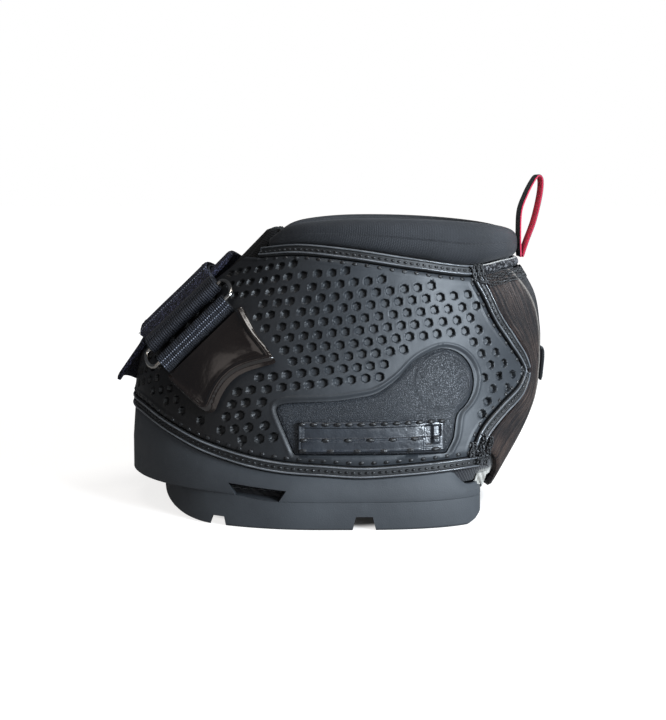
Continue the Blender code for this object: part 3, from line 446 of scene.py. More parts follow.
def ribs_group():
    """Woven ribs from a map in metres: ridges across it, broken along each ridge."""
    g, inside, out = group("woven_ribs", (("Rib pitch", 0.001), ("Pick pitch", 0.0012)), ("Height", "Shade"))
    along = g.axes(inside[0])
    x, y = g.math("DIVIDE", along[0], inside[1]), g.math("DIVIDE", along[1], inside[2])
    rib = g.math("ABSOLUTE", g.math("SINE", g.times(x, pi)))
    row = g.times(g.math("FLOOR", x), 0.5)
    pick = g.math("ABSOLUTE", g.math("SINE", g.times(g.plus(y, row), pi)))
    height = g.times(g.math("POWER", rib, 0.6), g.plus(g.times(pick, 0.45), 0.55))
    g.feed(out[0], height)
    g.feed(out[1], g.span(height, 0.15, 0.75))
    return g.tree


def hide_group():
    """Leather: small cells with creases between them, and longer wrinkles."""
    g, inside, out = group("hide", (("Cell scale", 900.0), ("Wrinkle scale", 90.0)), ("Height", "Creases"))
    warp = g.noise(inside[0], g.times(inside[1], 0.6))[1]
    moved = g.vector("MULTIPLY_ADD", warp, (0.0009, 0.0009, 0.0009), inside[0])[0]
    cells = g.add("ShaderNodeTexVoronoi", feature="DISTANCE_TO_EDGE", Vector=moved, Scale=inside[1])
    crease = g.span(cells.outputs[0], 0.0, 0.22, smooth=True)
    wrinkle = g.noise(inside[0], inside[2], 5.0, 0.65)[0]
    g.feed(out[0], g.plus(g.times(crease, 0.6), g.times(wrinkle, 0.8)))
    g.feed(out[1], crease)
    return g.tree


def pile_group():
    """The brushed loops of hook-and-loop tape, with a few lit fibres."""
    g, inside, out = group("loop_pile", (("Scale", 1500.0),), ("Height", "Tufts", "Glints"))
    tufts = g.add("ShaderNodeTexVoronoi", Vector=inside[0], Scale=g.times(inside[1], 0.45)).outputs[0]
    fibres = g.noise(inside[0], inside[1], 5.0, 0.8)[0]
    g.feed(out[0], g.math("SUBTRACT", fibres, g.times(tufts, 0.8)))
    g.feed(out[1], g.span(tufts, 0.1, 0.6))
    g.feed(out[2], g.span(fibres, 0.53, 0.62))
    return g.tree


MOTTLE, RIBS, HIDE, PILE = mottle_group(), ribs_group(), hide_group(), pile_group()


# Finishes

class Finish(Sheet):
    """A material: its shader's sockets, the places on the object and the piece's own map."""

    def __init__(self, name, rough, sheen=0.0, coat=0.0, metallic=0.0, specular=0.5):
        self.made = bpy.data.materials.new(name)
        self.made.use_nodes = True
        super().__init__(self.made.node_tree)
        self.shader = self.tree.nodes["Principled BSDF"].inputs
        for label, value in (("Roughness", rough), ("Metallic", metallic), ("Specular IOR Level", specular),
                             ("Sheen Weight", sheen), ("Sheen Roughness", 0.5), ("Coat Weight", coat),
                             ("Coat Roughness", 0.12)):
            self.shader[label].default_value = value
        coords = self.add("ShaderNodeTexCoord").outputs
        self.where, self.map = coords["Object"], coords["UV"]

    def mottle(self, *scales):
        return self.use(MOTTLE, self.where, *scales)

    def coat_with(self, colour, rough=None):
        self.feed(self.shader["Base Color"], colour)
        if rough is not None:
            self.feed(self.shader["Roughness"], rough)

    def bump(self, *heights):
        """Stack (height, depth in metres) pairs into the shader's normal; gives the material back."""
        last = None
        for height, depth in heights:
            node = self.add("ShaderNodeBump", Height=height, Distance=depth)
            if last is not None:
                self.feed(node.inputs["Normal"], last)
            last = node.outputs[0]
        self.feed(self.shader["Normal"], last)
        return self.made


def moulded(name, colour, light, rough, patch_scale=30.0, grain=0.00005, specular=0.5, coat=0.0, pit_and_toe_shade=False,
            crest=None):
    """Moulded rubber or plastic: slow patches, a matt grain, smoother crests with a painted highlight, and
    painted shade in the dimples and towards the toe.
    """
    s = Finish(name, rough, coat=coat, specular=specular)
    patches, grains, scuffs = s.mottle(patch_scale)
    colours = s.mix(s.times(patches, 0.7), colour, light)
    colours = s.mix(s.times(scuffs, 0.25), colours, tuple(min(1.0, c * 2.2) for c in light))
    dull = s.plus(s.times(patches, 0.14), rough - 0.07)
    if crest:
        # painted highlight: the piping's ridge crests are lightened towards the crest colour, and the valleys
        # are made rougher
        crest_highlight = s.marked("crest")
        share = s.times(s.math("POWER", crest_highlight, 2.5), s.span(patches, 0.0, 1.0, 0.45, 0.95))
        colours = s.mix(share, colours, crest)
        dull = s.plus(dull, s.span(crest_highlight, 0.0, 0.7, 0.45, 0.0))
    if pit_and_toe_shade:
        # painted shade: the panel's colour is darkened towards the toe, standing in for the light falling off
        # there
        toe_painted_shade = s.span(s.axes(s.where)[0], -0.042, 0.034, 0.97, 0.0)
        colours = s.mix(toe_painted_shade, colours, (0.0050, 0.0042, 0.0041))
        # painted shade: the dimples' marked walls are mixed to near black
        colours = s.mix(s.times(s.marked("pit"), 0.96), colours, tuple(c * 0.06 for c in colour))
    s.coat_with(colours, dull)
    return s.bump((grains, grain), (patches, 0.0003))


def woven(name, colour, light, rib, pick, rough=0.85, sheen=0.3, depth=0.0003, over=None):
    """Ribbed webbing or knit, from the piece's map in metres."""
    s = Finish(name, rough, sheen=sheen, specular=0.3)
    height, shade = s.use(RIBS, s.map, rib, pick)
    patches, grains, _ = s.mottle(60.0, 3000.0)
    colours = s.mix(s.times(shade, s.plus(s.times(patches, 0.5), 0.5)), colour, light)
    s.coat_with(over(s, colours) if over else colours)
    return s.bump((height, depth), (grains, 0.0001))


def cloth(name, colour, light, scale=2600.0, rough=0.9, sheen=0.4, over=None):
    """Fine cloth that needs no map: a slanted weave with fluff over it."""
    s = Finish(name, rough, sheen=sheen, specular=0.25)
    weave = s.add("ShaderNodeTexWave", bands_direction="DIAGONAL", Vector=s.where, Scale=scale / 8,
                  Distortion=1.5, Detail=2.0).outputs["Fac"]
    patches, grains, _ = s.mottle(45.0, scale)
    colours = s.mix(s.times(weave, s.plus(s.times(patches, 0.6), 0.4)), colour, light)
    s.coat_with(over(s, colours) if over else colours)
    return s.bump((weave, 0.00018), (grains, 0.00022))


def leather(name, colour, light, cells, wrinkles, rough, depth):
    """Grained hide with small cells and creases."""
    s = Finish(name, rough, specular=0.35)
    height, creases = s.use(HIDE, s.where, cells, wrinkles)
    patches, grains, _ = s.mottle(55.0)
    tone = s.times(creases, s.plus(s.times(patches, 0.6), 0.4))
    s.coat_with(s.mix(tone, colour, light), s.span(creases, 0.0, 1.0, rough + 0.12, rough))
    return s.bump((height, depth), (grains, 0.00006))


def piled(name, colour, light, lit):
    """The loop side of hook-and-loop tape."""
    s = Finish(name, 0.95, sheen=0.06, specular=0.15)
    height, tufts, glints = s.use(PILE, s.where)
    s.coat_with(s.mix(s.times(glints, 0.85), s.mix(tufts, light, colour), lit))
    return s.bump((height, 0.0009))


def metal(name, colour, dull):
    s = Finish(name, 0.24, metallic=1.0)
    patches, grains, scuffs = s.mottle(160.0, 5000.0)
    s.coat_with(s.mix(patches, colour, dull), s.span(scuffs, 0.0, 1.0, 0.20, 0.45))
    return s.bump((grains, 0.00003))


def heel_hide():
    """Brown hide with long strokes, a pale seam and a greyer strip behind it."""
    s = Finish("heel_leather", 0.48, specular=0.22)
    height, creases = s.use(HIDE, s.where, 900.0, 170.0)
    patches, grains, _ = s.mottle(70.0)
    turned = s.add("ShaderNodeMapping", Vector=s.map, Rotation=(0.0, 0.0, 0.12), Scale=(780.0, 42.0, 1.0))
    strokes = s.noise(turned.outputs[0], 1.0, 5.0, 0.72)[0]
    stroke = s.times(s.span(strokes, 0.42, 0.60), s.span(patches, 0.15, 0.75, 0.35, 1.0))
    brown = s.mix(stroke, (0.003, 0.0026, 0.0035), (0.052, 0.033, 0.026))
    grey = s.mix(s.times(creases, patches), (0.006, 0.0055, 0.006), (0.045, 0.042, 0.046))
    pale = s.times(s.marked("seam"), s.span(grains, 0.35, 0.6, 0.35, 0.9))
    colours = s.mix(pale, s.mix(s.marked("zone"), brown, grey), (0.28, 0.25, 0.22))
    s.coat_with(colours, s.span(stroke, 0.0, 1.0, 0.62, 0.42))
    return s.bump((height, 0.0002), (strokes, 0.0006))


def pale_line(s, weave):
    """Dark frayed tape with a pale woven line along its top edge."""
    fluff = s.noise(s.where, 900.0, 3.0)[0]
    wobble = s.plus(s.axes(s.map)[1], s.times(fluff, 0.0008))
    line = s.times(s.span(wobble, 0.0016, 0.0019), s.span(wobble, 0.0032, 0.0029))
    speckle = s.mix(s.span(fluff, 0.50, 0.58), (0.004, 0.004, 0.005), weave)
    return s.mix(line, speckle, (0.50, 0.49, 0.47))


def pale_fluff(s, weave):
    """Lining cloth that frays to pale fluff at its lower rear edge."""
    x, _, z = s.axes(s.where)
    fluff = s.noise(s.where, 420.0, 4.0, 0.7)[0]
    low = s.span(s.plus(z, s.times(fluff, 0.008)), 0.0248, 0.0228)
    tuft = s.mix(s.span(fluff, 0.35, 0.6), (0.12, 0.11, 0.095), (0.62, 0.60, 0.54))
    return s.mix(s.times(low, s.span(x, 0.072, 0.074)), weave, tuft)


FRAY_MAT = cloth("frayed_lining", (0.20, 0.19, 0.17), (0.62, 0.60, 0.55), 900.0)
SOLE_MAT = moulded("rubber_sole", (0.029, 0.032, 0.036), (0.050, 0.055, 0.061), 0.60, 24.0, 0.00007, 0.40)
PANEL_MAT = moulded("satin_panel", (0.021, 0.024, 0.028), (0.036, 0.041, 0.047), 0.46, 28.0, 0.00004, 0.36,
                    pit_and_toe_shade=True)
# its crest colour is a painted highlight along the piping's ridges
PIPE_MAT = moulded("satin_piping", (0.0035, 0.0037, 0.0042), (0.008, 0.009, 0.010), 0.16, 60.0, 0.00002, 0.6,
                   crest=(0.15, 0.158, 0.17))
BOX_MAT = moulded("box_plastic", (0.012, 0.014, 0.018), (0.027, 0.032, 0.040), 0.30, 90.0, 0.00003, 0.55)
GLOSS_MAT = moulded("gloss_plate", (0.0070, 0.0045, 0.0036), (0.0115, 0.0080, 0.0066), 0.17, 40.0, 0.00001,
                    coat=0.6)
THREAD_MAT = moulded("stitch_thread", (0.002, 0.002, 0.003), (0.010, 0.011, 0.012), 0.40, 300.0, 0.00008)
KNIT_MAT = woven("ribbed_collar", (0.004, 0.0045, 0.0056), (0.022, 0.024, 0.029), 0.00075, 0.0011, 0.66, 0.08,
                 0.00014)
FOAM_MAT = cloth("lining_cloth", (0.008, 0.008, 0.010), (0.028, 0.029, 0.033), over=pale_fluff)
TONGUE_MAT = cloth("tongue_cloth", (0.002, 0.002, 0.002), (0.006, 0.006, 0.007), 3000.0, 0.9, 0.03)
HEEL_MAT = heel_hide()
FIELD_MAT = leather("field_leather", (0.008, 0.0095, 0.012), (0.030, 0.034, 0.041), 1500.0, 60.0, 0.40, 0.00020)
BINDING_MAT = woven("grey_binding", (0.004, 0.004, 0.005), (0.20, 0.20, 0.21), 0.0012, 0.0011, 0.9, 0.0,
                    over=pale_line)
WEB_MAT = woven("navy_webbing", (0.0015, 0.0015, 0.0025), (0.027, 0.030, 0.042), 0.00105, 0.0009, 0.55, 0.03,
                0.0006)
STRAP_MAT = woven("strap_webbing", (0.004, 0.004, 0.005), (0.018, 0.018, 0.022), 0.0008, 0.0008, 0.8, 0.1,
                  0.00018)
PILE_MAT = piled("loop_tape", (0.0035, 0.0035, 0.0055), (0.014, 0.014, 0.024), (0.17, 0.18, 0.32))
RED_MAT = woven("crimson_ribbon", (0.46, 0.010, 0.05), (0.78, 0.06, 0.15), 0.0006, 0.0006, 0.5, 0.15, 0.0001)
BLACK_MAT = woven("black_ribbon", (0.004, 0.004, 0.005), (0.016, 0.016, 0.019), 0.0006, 0.0006, 0.6, 0.1,
                  0.0001)
RING_MAT = metal("steel_wire", (0.56, 0.54, 0.51), (0.24, 0.22, 0.20))
BOARD_MAT = cloth("footbed_cloth", (0.014, 0.014, 0.015), (0.036, 0.035, 0.036), 1800.0)
PALE_THREAD = moulded("pale_thread", (0.10, 0.11, 0.14), (0.30, 0.32, 0.38), 0.5, 300.0)


# Geometry node trees

def geometry_tree(name, *sockets):
    """An empty tree with named inputs, the last of them the finish."""
    tree = bpy.data.node_groups.new(name, "GeometryNodeTree")
    sockets = (("Geometry", "NodeSocketGeometry"), *sockets, ("Material", "NodeSocketMaterial"))
    for label, kind in sockets:
        tree.interface.new_socket(name=label, in_out="INPUT", socket_type=kind)
    tree.interface.new_socket(name="Geometry", in_out="OUTPUT", socket_type="NodeSocketGeometry")
    return Sheet(tree), {socket.name: socket for socket in tree.nodes.new("NodeGroupInput").outputs}


def finish_tree(s, geometry, finish):
    real = s.add("GeometryNodeRealizeInstances", geometry).outputs[0]
    painted = s.add("GeometryNodeSetMaterial", Geometry=real, Material=finish)
    s.feed(s.tree.nodes.new("NodeGroupOutput").inputs[0], painted.outputs[0])
    return s.tree


def dimple_tree():
    """Sink a six-sided recess, point upwards, at each point of another object.

    Its rear upper wall carries the darkest painted shade, and towards the toe the whole recess is painted dark
    as shade; this painted shade is stored under the name pit.
    """
    s, inside = geometry_tree("dimples", ("Centres", "NodeSocketObject"), ("Radius", FLOAT), ("Depth", FLOAT),
                              ("Rim", FLOAT))
    radius = inside["Radius"]
    centres = s.add("GeometryNodeObjectInfo", Object=inside["Centres"]).outputs["Geometry"]
    near = s.add("GeometryNodeProximity", centres, target_element="POINTS").outputs
    place_of = s.add("GeometryNodeInputPosition").outputs[0]
    x, _, z = s.axes(s.vector("SUBTRACT", place_of, near["Position"])[0])
    rise = s.math("ABSOLUTE", z)
    level = s.math("SUBTRACT", s.math("POWER", near["Distance"], 2.0), s.math("POWER", rise, 2.0))
    level = s.math("SQRT", s.math("MAXIMUM", level, 0.0))
    slanted = s.plus(s.times(level, 0.5), s.times(rise, 0.866))
    away = s.math("DIVIDE", s.math("MAXIMUM", level, slanted), radius)
    sunk = s.span(away, 1.0, 0.78, smooth=True)
    rim = s.times(s.span(away, 1.45, 1.15, smooth=True), s.span(away, 0.85, 1.1, smooth=True))
    rearward = s.math("DIVIDE", s.plus(s.times(x, 0.85), s.times(z, 0.5)), radius)
    forward = s.span(s.axes(place_of)[0], -0.040, 0.015, 1.1, 0.0)
    # painted shade: the pit mark is strongest on the rear upper wall, which faces away from the key light, and
    # covers the whole recess towards the toe
    wall = s.times(s.span(away, 1.08, 0.98), s.span(away, 0.38, 0.60))
    wall = s.times(wall, s.span(s.plus(rearward, forward), 0.02, 0.42))
    outer = s.add("GeometryNodeInputNamedAttribute", data_type="FLOAT", Name="outer").outputs[0]
    lift = s.times(s.math("SUBTRACT", s.times(rim, inside["Rim"]), s.times(sunk, inside["Depth"])), outer)
    face = s.add("GeometryNodeInputNormal").outputs[0]
    offset = s.add("ShaderNodeVectorMath", face, operation="SCALE", Scale=lift)
    store = s.add("GeometryNodeStoreNamedAttribute", data_type="FLOAT", domain="POINT",
                  Geometry=inside["Geometry"], Name="pit", Value=s.times(wall, outer))
    moved = s.add("GeometryNodeSetPosition", Geometry=store.outputs[0], Offset=offset.outputs[0])
    return finish_tree(s, moved.outputs[0], inside["Material"])


STITCH_SIZES = ("Pitch", "Length", "Width", "Rise")


def stitch_tree():
    """Lay a row of stitches along an edge path that carries its own up direction."""
    s, inside = geometry_tree("stitches", *((label, FLOAT) for label in STITCH_SIZES))
    curve = s.add("GeometryNodeMeshToCurve", Mesh=inside["Geometry"]).outputs[0]
    spaced = s.add("GeometryNodeResampleCurve", mode="LENGTH", Curve=curve, Length=inside["Pitch"]).outputs[0]
    bead = s.add("GeometryNodeMeshUVSphere", Segments=8, Rings=6, Radius=0.5).outputs["Mesh"]
    along = s.add("GeometryNodeInputTangent").outputs[0]
    up = s.add("GeometryNodeInputNamedAttribute", data_type="FLOAT_VECTOR", Name="up").outputs[0]
    turn = "FunctionNodeAlignRotationToVector"
    turned = s.add(turn, axis="X", Vector=along).outputs[0]
    turned = s.add(turn, axis="Z", pivot_axis="X", Rotation=turned, Vector=up).outputs[0]
    size = s.add("ShaderNodeCombineXYZ", *(inside[label] for label in STITCH_SIZES[1:])).outputs[0]
    put = s.add("GeometryNodeInstanceOnPoints", Points=spaced, Instance=bead, Rotation=turned, Scale=size)
    return finish_tree(s, put.outputs[0], inside["Material"])


DIMPLES, STITCHES = dimple_tree(), stitch_tree()


def run_tree(item, tree, **values):
    modifier = item.modifiers.new(tree.name, "NODES")
    modifier.node_group = tree
    for socket in tree.interface.items_tree:
        if socket.in_out == "INPUT" and socket.name in values:
            modifier[socket.identifier] = values[socket.name]
    return settled(item)


# Stitches, as their pitch, length, width and rise
ROW_STITCH, FINE_STITCH = (0.0024, 0.0017, 0.0006, 0.0005), (0.0011, 0.0007, 0.0006, 0.0005)
BAND_STITCH, EDGE_STITCH = (0.0027, 0.0018, 0.0012, 0.0008), (0.0050, 0.0024, 0.0017, 0.0010)
TACK_STITCH, ZIGZAG_STITCH = (0.0016, 0.0021, 0.0008, 0.0009), (0.0013, 0.0015, 0.0005, 0.0004)
TAIL_STITCH, TAIL_EDGE_STITCH = (0.00115, 0.0007, 0.0006, 0.0005), (0.0021, 0.0013, 0.0005, 0.0004)


def stitches(name, points, ups, sizes=ROW_STITCH, body="root", finish=THREAD_MAT, both=False):
    """A sewn row through points, lying on the surface whose directions are ups."""
    mesh = bpy.data.meshes.new(name)
    mesh.from_pydata(points.tolist(), [(i, i + 1) for i in range(len(points) - 1)], [])
    mesh.attributes.new("up", "FLOAT_VECTOR", "POINT").data.foreach_set("vector", ups.ravel())
    row = run_tree(linked(name, mesh), STITCHES, Material=finish, **dict(zip(STITCH_SIZES, sizes)))
    row.data.shade_smooth()
    if both:
        place_pair(row)
    else:
        place(row, body)


def sewn(name, angle, height, out, sizes, both=False):
    """A sewn row on the last, at one distance out from it."""
    stitches(name, laid(angle, height, out), normal(angle, height), sizes, both=both)


def zigzag(count):
    return np.where(np.arange(count) % 2 == 0, 1.0, -1.0)


# Outlines in side view

FIELD_TIP, FIELD_FLOOR, FIELD_LENGTH, FIELD_RISE = -0.0110, 0.0300, 0.0830, 0.0410
FIELD_POINTS = ((0.0, 0.46), (0.06, 0.505), (0.32, 0.53), (0.50, 0.585), (0.60, 0.72), (0.69, 0.91))
FIELD_TAIL = ((0.885, 0.14), (0.845, 0.0), (0.10, 0.0))
FIELD_ROUNDS = [0.004] * 6 + [0.0035] * 10 + [0.002, 0.001, 0.001]
DISC = (FIELD_TIP + FIELD_LENGTH * 0.83, FIELD_FLOOR + FIELD_RISE * 0.68)
DISC_RADIUS, SIDE_REACH = 0.0139, 0.09
PLATE_POINTS = (
    (-0.05707, 0.05812), (-0.02542, 0.08869), (-0.01933, 0.07812), (-0.01307, 0.07091), (-0.00994, 0.06648),
    (-0.02121, 0.06343), (-0.02747, 0.06011), (-0.03216, 0.05429), (-0.03561, 0.04571), (-0.03936, 0.04571),
)
PLATE_ROUNDS = (0.002, 0.002, 0.004, 0.004, 0.0016, 0.005, 0.004, 0.004, 0.002, 0.002)


def rounded(points, sizes, steps=7):
    """A closed outline with each corner rounded by its own size."""
    points = np.asarray(points, float)
    made = []
    for i, p in enumerate(points):
        size = sizes[i] if np.ndim(sizes) else sizes
        before, after = points[i - 1], points[(i + 1) % len(points)]
        a = p + (before - p) * min(0.49, size / np.linalg.norm(before - p))
        b = p + (after - p) * min(0.49, size / np.linalg.norm(after - p))
        for t in np.linspace(0, 1, steps):
            made.append(a * (1 - t) ** 2 + 2 * p * t * (1 - t) + b * t * t)
    return np.array(made)


def field_outline(inset=0.0):
    def spread(shares_of):
        return [(FIELD_TIP + FIELD_LENGTH * x, FIELD_FLOOR + FIELD_RISE * z) for x, z in shares_of]

    turns = np.linspace(0.56 * pi, -0.36 * pi, 10)
    lobe = [(DISC[0] + DISC_RADIUS * cos(turn), DISC[1] + DISC_RADIUS * sin(turn)) for turn in turns]
    outline = rounded(spread(FIELD_POINTS) + lobe + spread(FIELD_TAIL), FIELD_ROUNDS)
    if not inset:
        return outline
    tangent = unit(np.roll(outline, -1, 0) - np.roll(outline, 1, 0))
    return outline + np.stack((tangent[:, 1], -tangent[:, 0]), 1) * inset


def plate_outline():
    return rounded(PLATE_POINTS, PLATE_ROUNDS)


def distance_to(outline, x, z):
    """Distance to a closed outline, positive outside it."""
    p = np.stack((x.ravel(), z.ravel()), 1)
    best = np.full(len(p), 1e9)
    inside = np.zeros(len(p), bool)
    for a, b in zip(outline, np.roll(outline, -1, 0)):
        edge = b - a
        size = max(edge @ edge, 1e-14)
        t = np.clip(((p - a) @ edge) / size, 0, 1)
        best = np.minimum(best, np.linalg.norm(p - a - t[:, None] * edge, axis=1))
        if abs(edge[1]) > 1e-12:
            crosses = (a[1] > p[:, 1]) != (b[1] > p[:, 1])
            inside ^= crosses & (p[:, 0] < a[0] + edge[0] * (p[:, 1] - a[1]) / edge[1])
    return np.where(inside, -best, best).reshape(x.shape)


def trimmed(name, angles, heights, columns, rows, relief, seat, finish, outline, sharp=50):
    """A piece laid on the near wall and cut to an outline; relief gives its height at each (x, z)."""
    u, v = np.meshgrid(np.linspace(*angles, columns + 1) * pi, np.linspace(*heights, rows + 1))
    base, face = surface(u, v), normal(u, v)
    outer = raised(base, face, relief(base[..., 0], base[..., 2]))
    item = slab(name, outer, raised(base, face, seat), finish, metric_uv(base))
    cut(item, [prism("trim", outline, -SIDE_REACH, 0.0)], "INTERSECT")
    return crisp(item, sharp)


# Side walls

# The dimples' lattice as the camera sees it, in steps of the 720-high picture, and its wrap round the toe
LATTICE_START, LATTICE_STEPS = np.array((37.6, 177.9)), np.array(((13.93, -1.5), (8.35, 11.26)))
LATTICE_ROWS, LATTICE_COLUMNS, LATTICE_MISS = (-22, 14), (-14, 13), 2.5
TOE_STEP, TOE_SLOPE = 0.00043, 0.29
TOP_ROOM, LOW_ROOM, REAR_ROOM, FRONT_ROOM = 0.0046, 0.0052, 0.0042, 0.0032
FIELD_ROOM, PLATE_ROOM = 0.0043, 0.0031
DIMPLE_RADIUS, DIMPLE_DEPTH, DIMPLE_RIM = 0.00182, 0.00150, 0.00005


def slit_angle(height):
    """Half the angle of the front slit between the two panels."""
    wide = LAST_HALF_WIDTH * through(SLIT_HEIGHTS, SLIT_WIDTHS, height / BOOT_HEIGHT)
    return np.arcsin(np.maximum(wide, 0.0004) / section(height)[2])


def panel_edges(count=48):
    share = np.linspace(TOP_ANGLES[0], REAR_ANGLES[-1], count + 1) * pi
    upper = beside(share, top_edge(share), -(BAND_WIDTH + 2 * GAP))
    rear = beside(*rear_path(count), BAND_WIDTH + 3 * GAP)
    kept = upper[0] < rear[0][-1] - 0.002
    upper = (np.append(upper[0][kept], rear[0][-1]), np.append(upper[1][kept], upper[1][kept][-1]))
    low = np.linspace(slit_angle(welt_seat(0.0, PANEL)), rear[0][0], count + 1)
    lower = (low, welt_seat(low, PANEL))
    rises = np.linspace(lower[1][0], upper[1][0], count + 1)
    front = (slit_angle(rises), rises)
    upper[0][0], upper[1][0] = front[0][-1], front[1][-1]
    rear[0][0], rear[1][0] = lower[0][-1], lower[1][-1]
    rear[0][-1], rear[1][-1] = upper[0][-1], upper[1][-1]
    return lower, upper, front, rear


def wrapped(angle, height, points):
    """Each point's place in side view from the view's own height, wrapped round the toe by arc length."""
    def seen_at(place):
        return PICTURE_SCALE * (place[..., 0] - CAMERA_X) / (CAMERA_BACK + place[..., 1])

    across = seen_at(points)
    down = PICTURE_SCALE * (CAMERA_HEIGHT - points[..., 2]) / (CAMERA_BACK + points[..., 1])
    turns, levels = np.linspace(0, 0.6 * pi, 240), np.linspace(height.min(), height.max(), 60)
    place = surface(turns[None], levels[:, None])
    seen, arc = seen_at(place), lengths(place, 1)
    toe, _, half, middle, _ = section(levels)
    edge = np.arctan2(half / (middle - toe), TOE_SLOPE)
    level = np.clip(np.rint((height - levels[0]) / (levels[1] - levels[0])).astype(int), 0, 59)
    for i in range(60):
        front = (level == i) & (angle < edge[i])
        run = np.interp(angle[front], turns, arc[i]) - np.interp(edge[i], turns, arc[i])
        across[front] = np.interp(edge[i], turns, seen[i]) + run / TOE_STEP
    return np.stack((across, down), -1)


def lattice(angle, height, points):
    """Rows of dimple centres, kept off the panel's edges, its field and the plate."""
    flat = wrapped(angle, height, points).reshape(-1, 2)
    low, high, front, rear = edge_rooms(metric_uv(points))
    x, z = points[..., 0], points[..., 2]
    room = (high - TOP_ROOM, low - LOW_ROOM, rear - REAR_ROOM, front - FRONT_ROOM,
            distance_to(field_outline(), x, z) - FIELD_ROOM, distance_to(plate_outline(), x, z) - PLATE_ROOM)
    clear = (np.minimum.reduce(room) > 0).ravel()
    places = points.reshape(-1, 3)
    kept = []
    for i in range(*LATTICE_ROWS):
        for j in range(*LATTICE_COLUMNS):
            at = LATTICE_START + LATTICE_STEPS[0] * i + LATTICE_STEPS[1] * j
            gap = np.sum((flat - at) ** 2, 1)
            k = int(np.argmin(gap))
            if gap[k] < LATTICE_MISS and clear[k]:
                kept.append(places[k])
    return np.array(kept)


def side_panels():
    rows, columns = ((186, 438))
    angle, height = patch(*panel_edges(), *shares(columns, rows))
    base, face = surface(angle, height), normal(angle, height)
    away = distance_to(field_outline(), base[..., 0], base[..., 2])
    uv = metric_uv(base)
    low, high, _, rear = edge_rooms(uv)
    side = np.minimum.reduce((low, high, rear))
    bead = 0.00034 * bell(away, 0.0013, 0.00042) - 0.0005 * (1 - ease(0, 0.0007, away))
    border = 0.00022 * bell(side, 0.0022, 0.0006) - 0.0005 * (1 - ease(0, 0.0009, side))
    outer = raised(base, face, PANEL + GAP + bead + border)
    panel = slab("panel_near", outer, raised(base, face, GAP), PANEL_MAT, uv, 6)
    mark(panel, "outer", np.arange(len(panel.data.vertices)) < outer.size // 3)
    centres = object_from("dimple_centres", lattice(angle, height, outer), [])
    run_tree(panel, DIMPLES, Centres=centres, Radius=DIMPLE_RADIUS, Depth=DIMPLE_DEPTH, Rim=DIMPLE_RIM,
             Material=PANEL_MAT)
    bpy.data.objects.remove(centres)
    cut(panel, [prism("field_cut", field_outline(), -SIDE_REACH, 0.0)])
    place_pair(crisp(panel, 50), "side_panel_near")


def side_inlays():
    def relief(x, z):
        pad = 0.00045 * ease(0.0, 0.0022, -distance_to(field_outline(), x, z))
        return GAP + 0.0011 + pad + 0.00022 * bell(np.hypot(x - DISC[0], z - DISC[1]), 0.0112, 0.0005)

    inlay = trimmed("inlay_near", (0.36, 0.84), (0.0276, 0.0758), 300, 110, relief, GAP, FIELD_MAT,
                    field_outline(GAP), 60)
    place_pair(inlay, "side_inlay_near")


BOX_FRONT, BOX_FOOT, BOX_LENGTH, BOX_RISE = -0.0010, 0.0310, 0.0590, 0.0125
# Channel, slot, block and lower band: each its height, then where it starts and ends along the box and up it
BOX_RELIEF = (
    (-0.0009, (0.03, 0.045, 0.955, 0.965), (0.44, 0.47, 0.77, 0.80)),
    (-0.0008, (0.855, 0.862, 0.898, 0.905), (0.20, 0.25, 0.78, 0.82)),
    (0.0007, (0.905, 0.915, 0.948, 0.958), (0.22, 0.28, 0.76, 0.80)),
    (0.0004, (0.02, 0.035, 0.84, 0.85), (0.02, 0.06, 0.36, 0.42)),
)
# Each row's height and ends as shares of the box, then its pitch and stitch length
BOX_ROWS = {
    "top": (0.90, 0.03, 0.97, 0.0046, 0.0034),
    "mid": (0.405, 0.04, 0.93, 0.0088, 0.0036),
    "low": (0.07, 0.04, 0.93, 0.0094, 0.0044),
}


def near_angle(x, height):
    """The angle at which the near wall lies at x."""
    toe, heel, half, middle, power = section(height)
    share = np.clip((x - middle) / (heel - middle), -0.99, 0.99)
    behind = (1 - np.abs(share) ** power) ** (1 / power)
    before = np.sqrt(1 - ((x - middle) / (middle - toe)) ** 2)
    return angle_of(np.stack((x, -half * np.where(x > middle, behind, before), height), 1))


def strap_boxes():
    lift = 0.0014 + 2 * GAP

    def relief(x, z):
        x, z = (x - BOX_FRONT) / BOX_LENGTH, (z - BOX_FOOT) / BOX_RISE
        height = 0.0016 + sum(rise * between(x, *along) * between(z, *up) for rise, along, up in BOX_RELIEF)
        rim = np.minimum.reduce([x * BOX_LENGTH, (1 - x) * BOX_LENGTH, z * BOX_RISE, (1 - z) * BOX_RISE])
        height += 0.0003 * bell(rim, 0.0008, 0.0004) - 0.0006 * (1 - ease(0, 0.0006, rim))
        return lift + np.maximum(height, 0.0004)

    ends = ((0, 0), (0, 1), (1, 1), (1, 0))
    corners = [(BOX_FRONT + BOX_LENGTH * x, BOX_FOOT + BOX_RISE * z) for x, z in ends]
    box = trimmed("strap_box_near_piece", (0.42, 0.78), (0.0305, 0.0440), 420, 60, relief, lift, BOX_MAT,
                  rounded(corners, 0.0009, 5))
    place_pair(box, "strap_box_near")
    for label, (share, start, end, pitch, length) in BOX_ROWS.items():
        x = np.linspace(BOX_FRONT + BOX_LENGTH * start, BOX_FRONT + BOX_LENGTH * end, 60)
        h = np.full(60, BOX_FOOT + BOX_RISE * share)
        sizes = (pitch, length, 0.0018, 0.0015)
        sewn(f"box_{label}_stitches_near", near_angle(x, h), h, lift + 0.0017, sizes, True)


# Bands

BINDING_WIDTH = 0.0040


def band_profile():
    """Two piped ridges with a sunk valley between them, as shares of the band's width and thickness."""
    ridge = [(-0.09 * cos(t), 0.80 + 0.20 * sin(t)) for t in np.linspace(0.0, pi, 9)]
    return [(0.0, 0.0), (0.0, 0.76), *((0.12 + x, z) for x, z in ridge),
            (0.25, 0.74), (0.5, 0.74), (0.69, 0.74), *((0.82 + x, z) for x, z in ridge),
            (0.97, 0.72), (1.0, 0.66), (1.0, 0.0)]


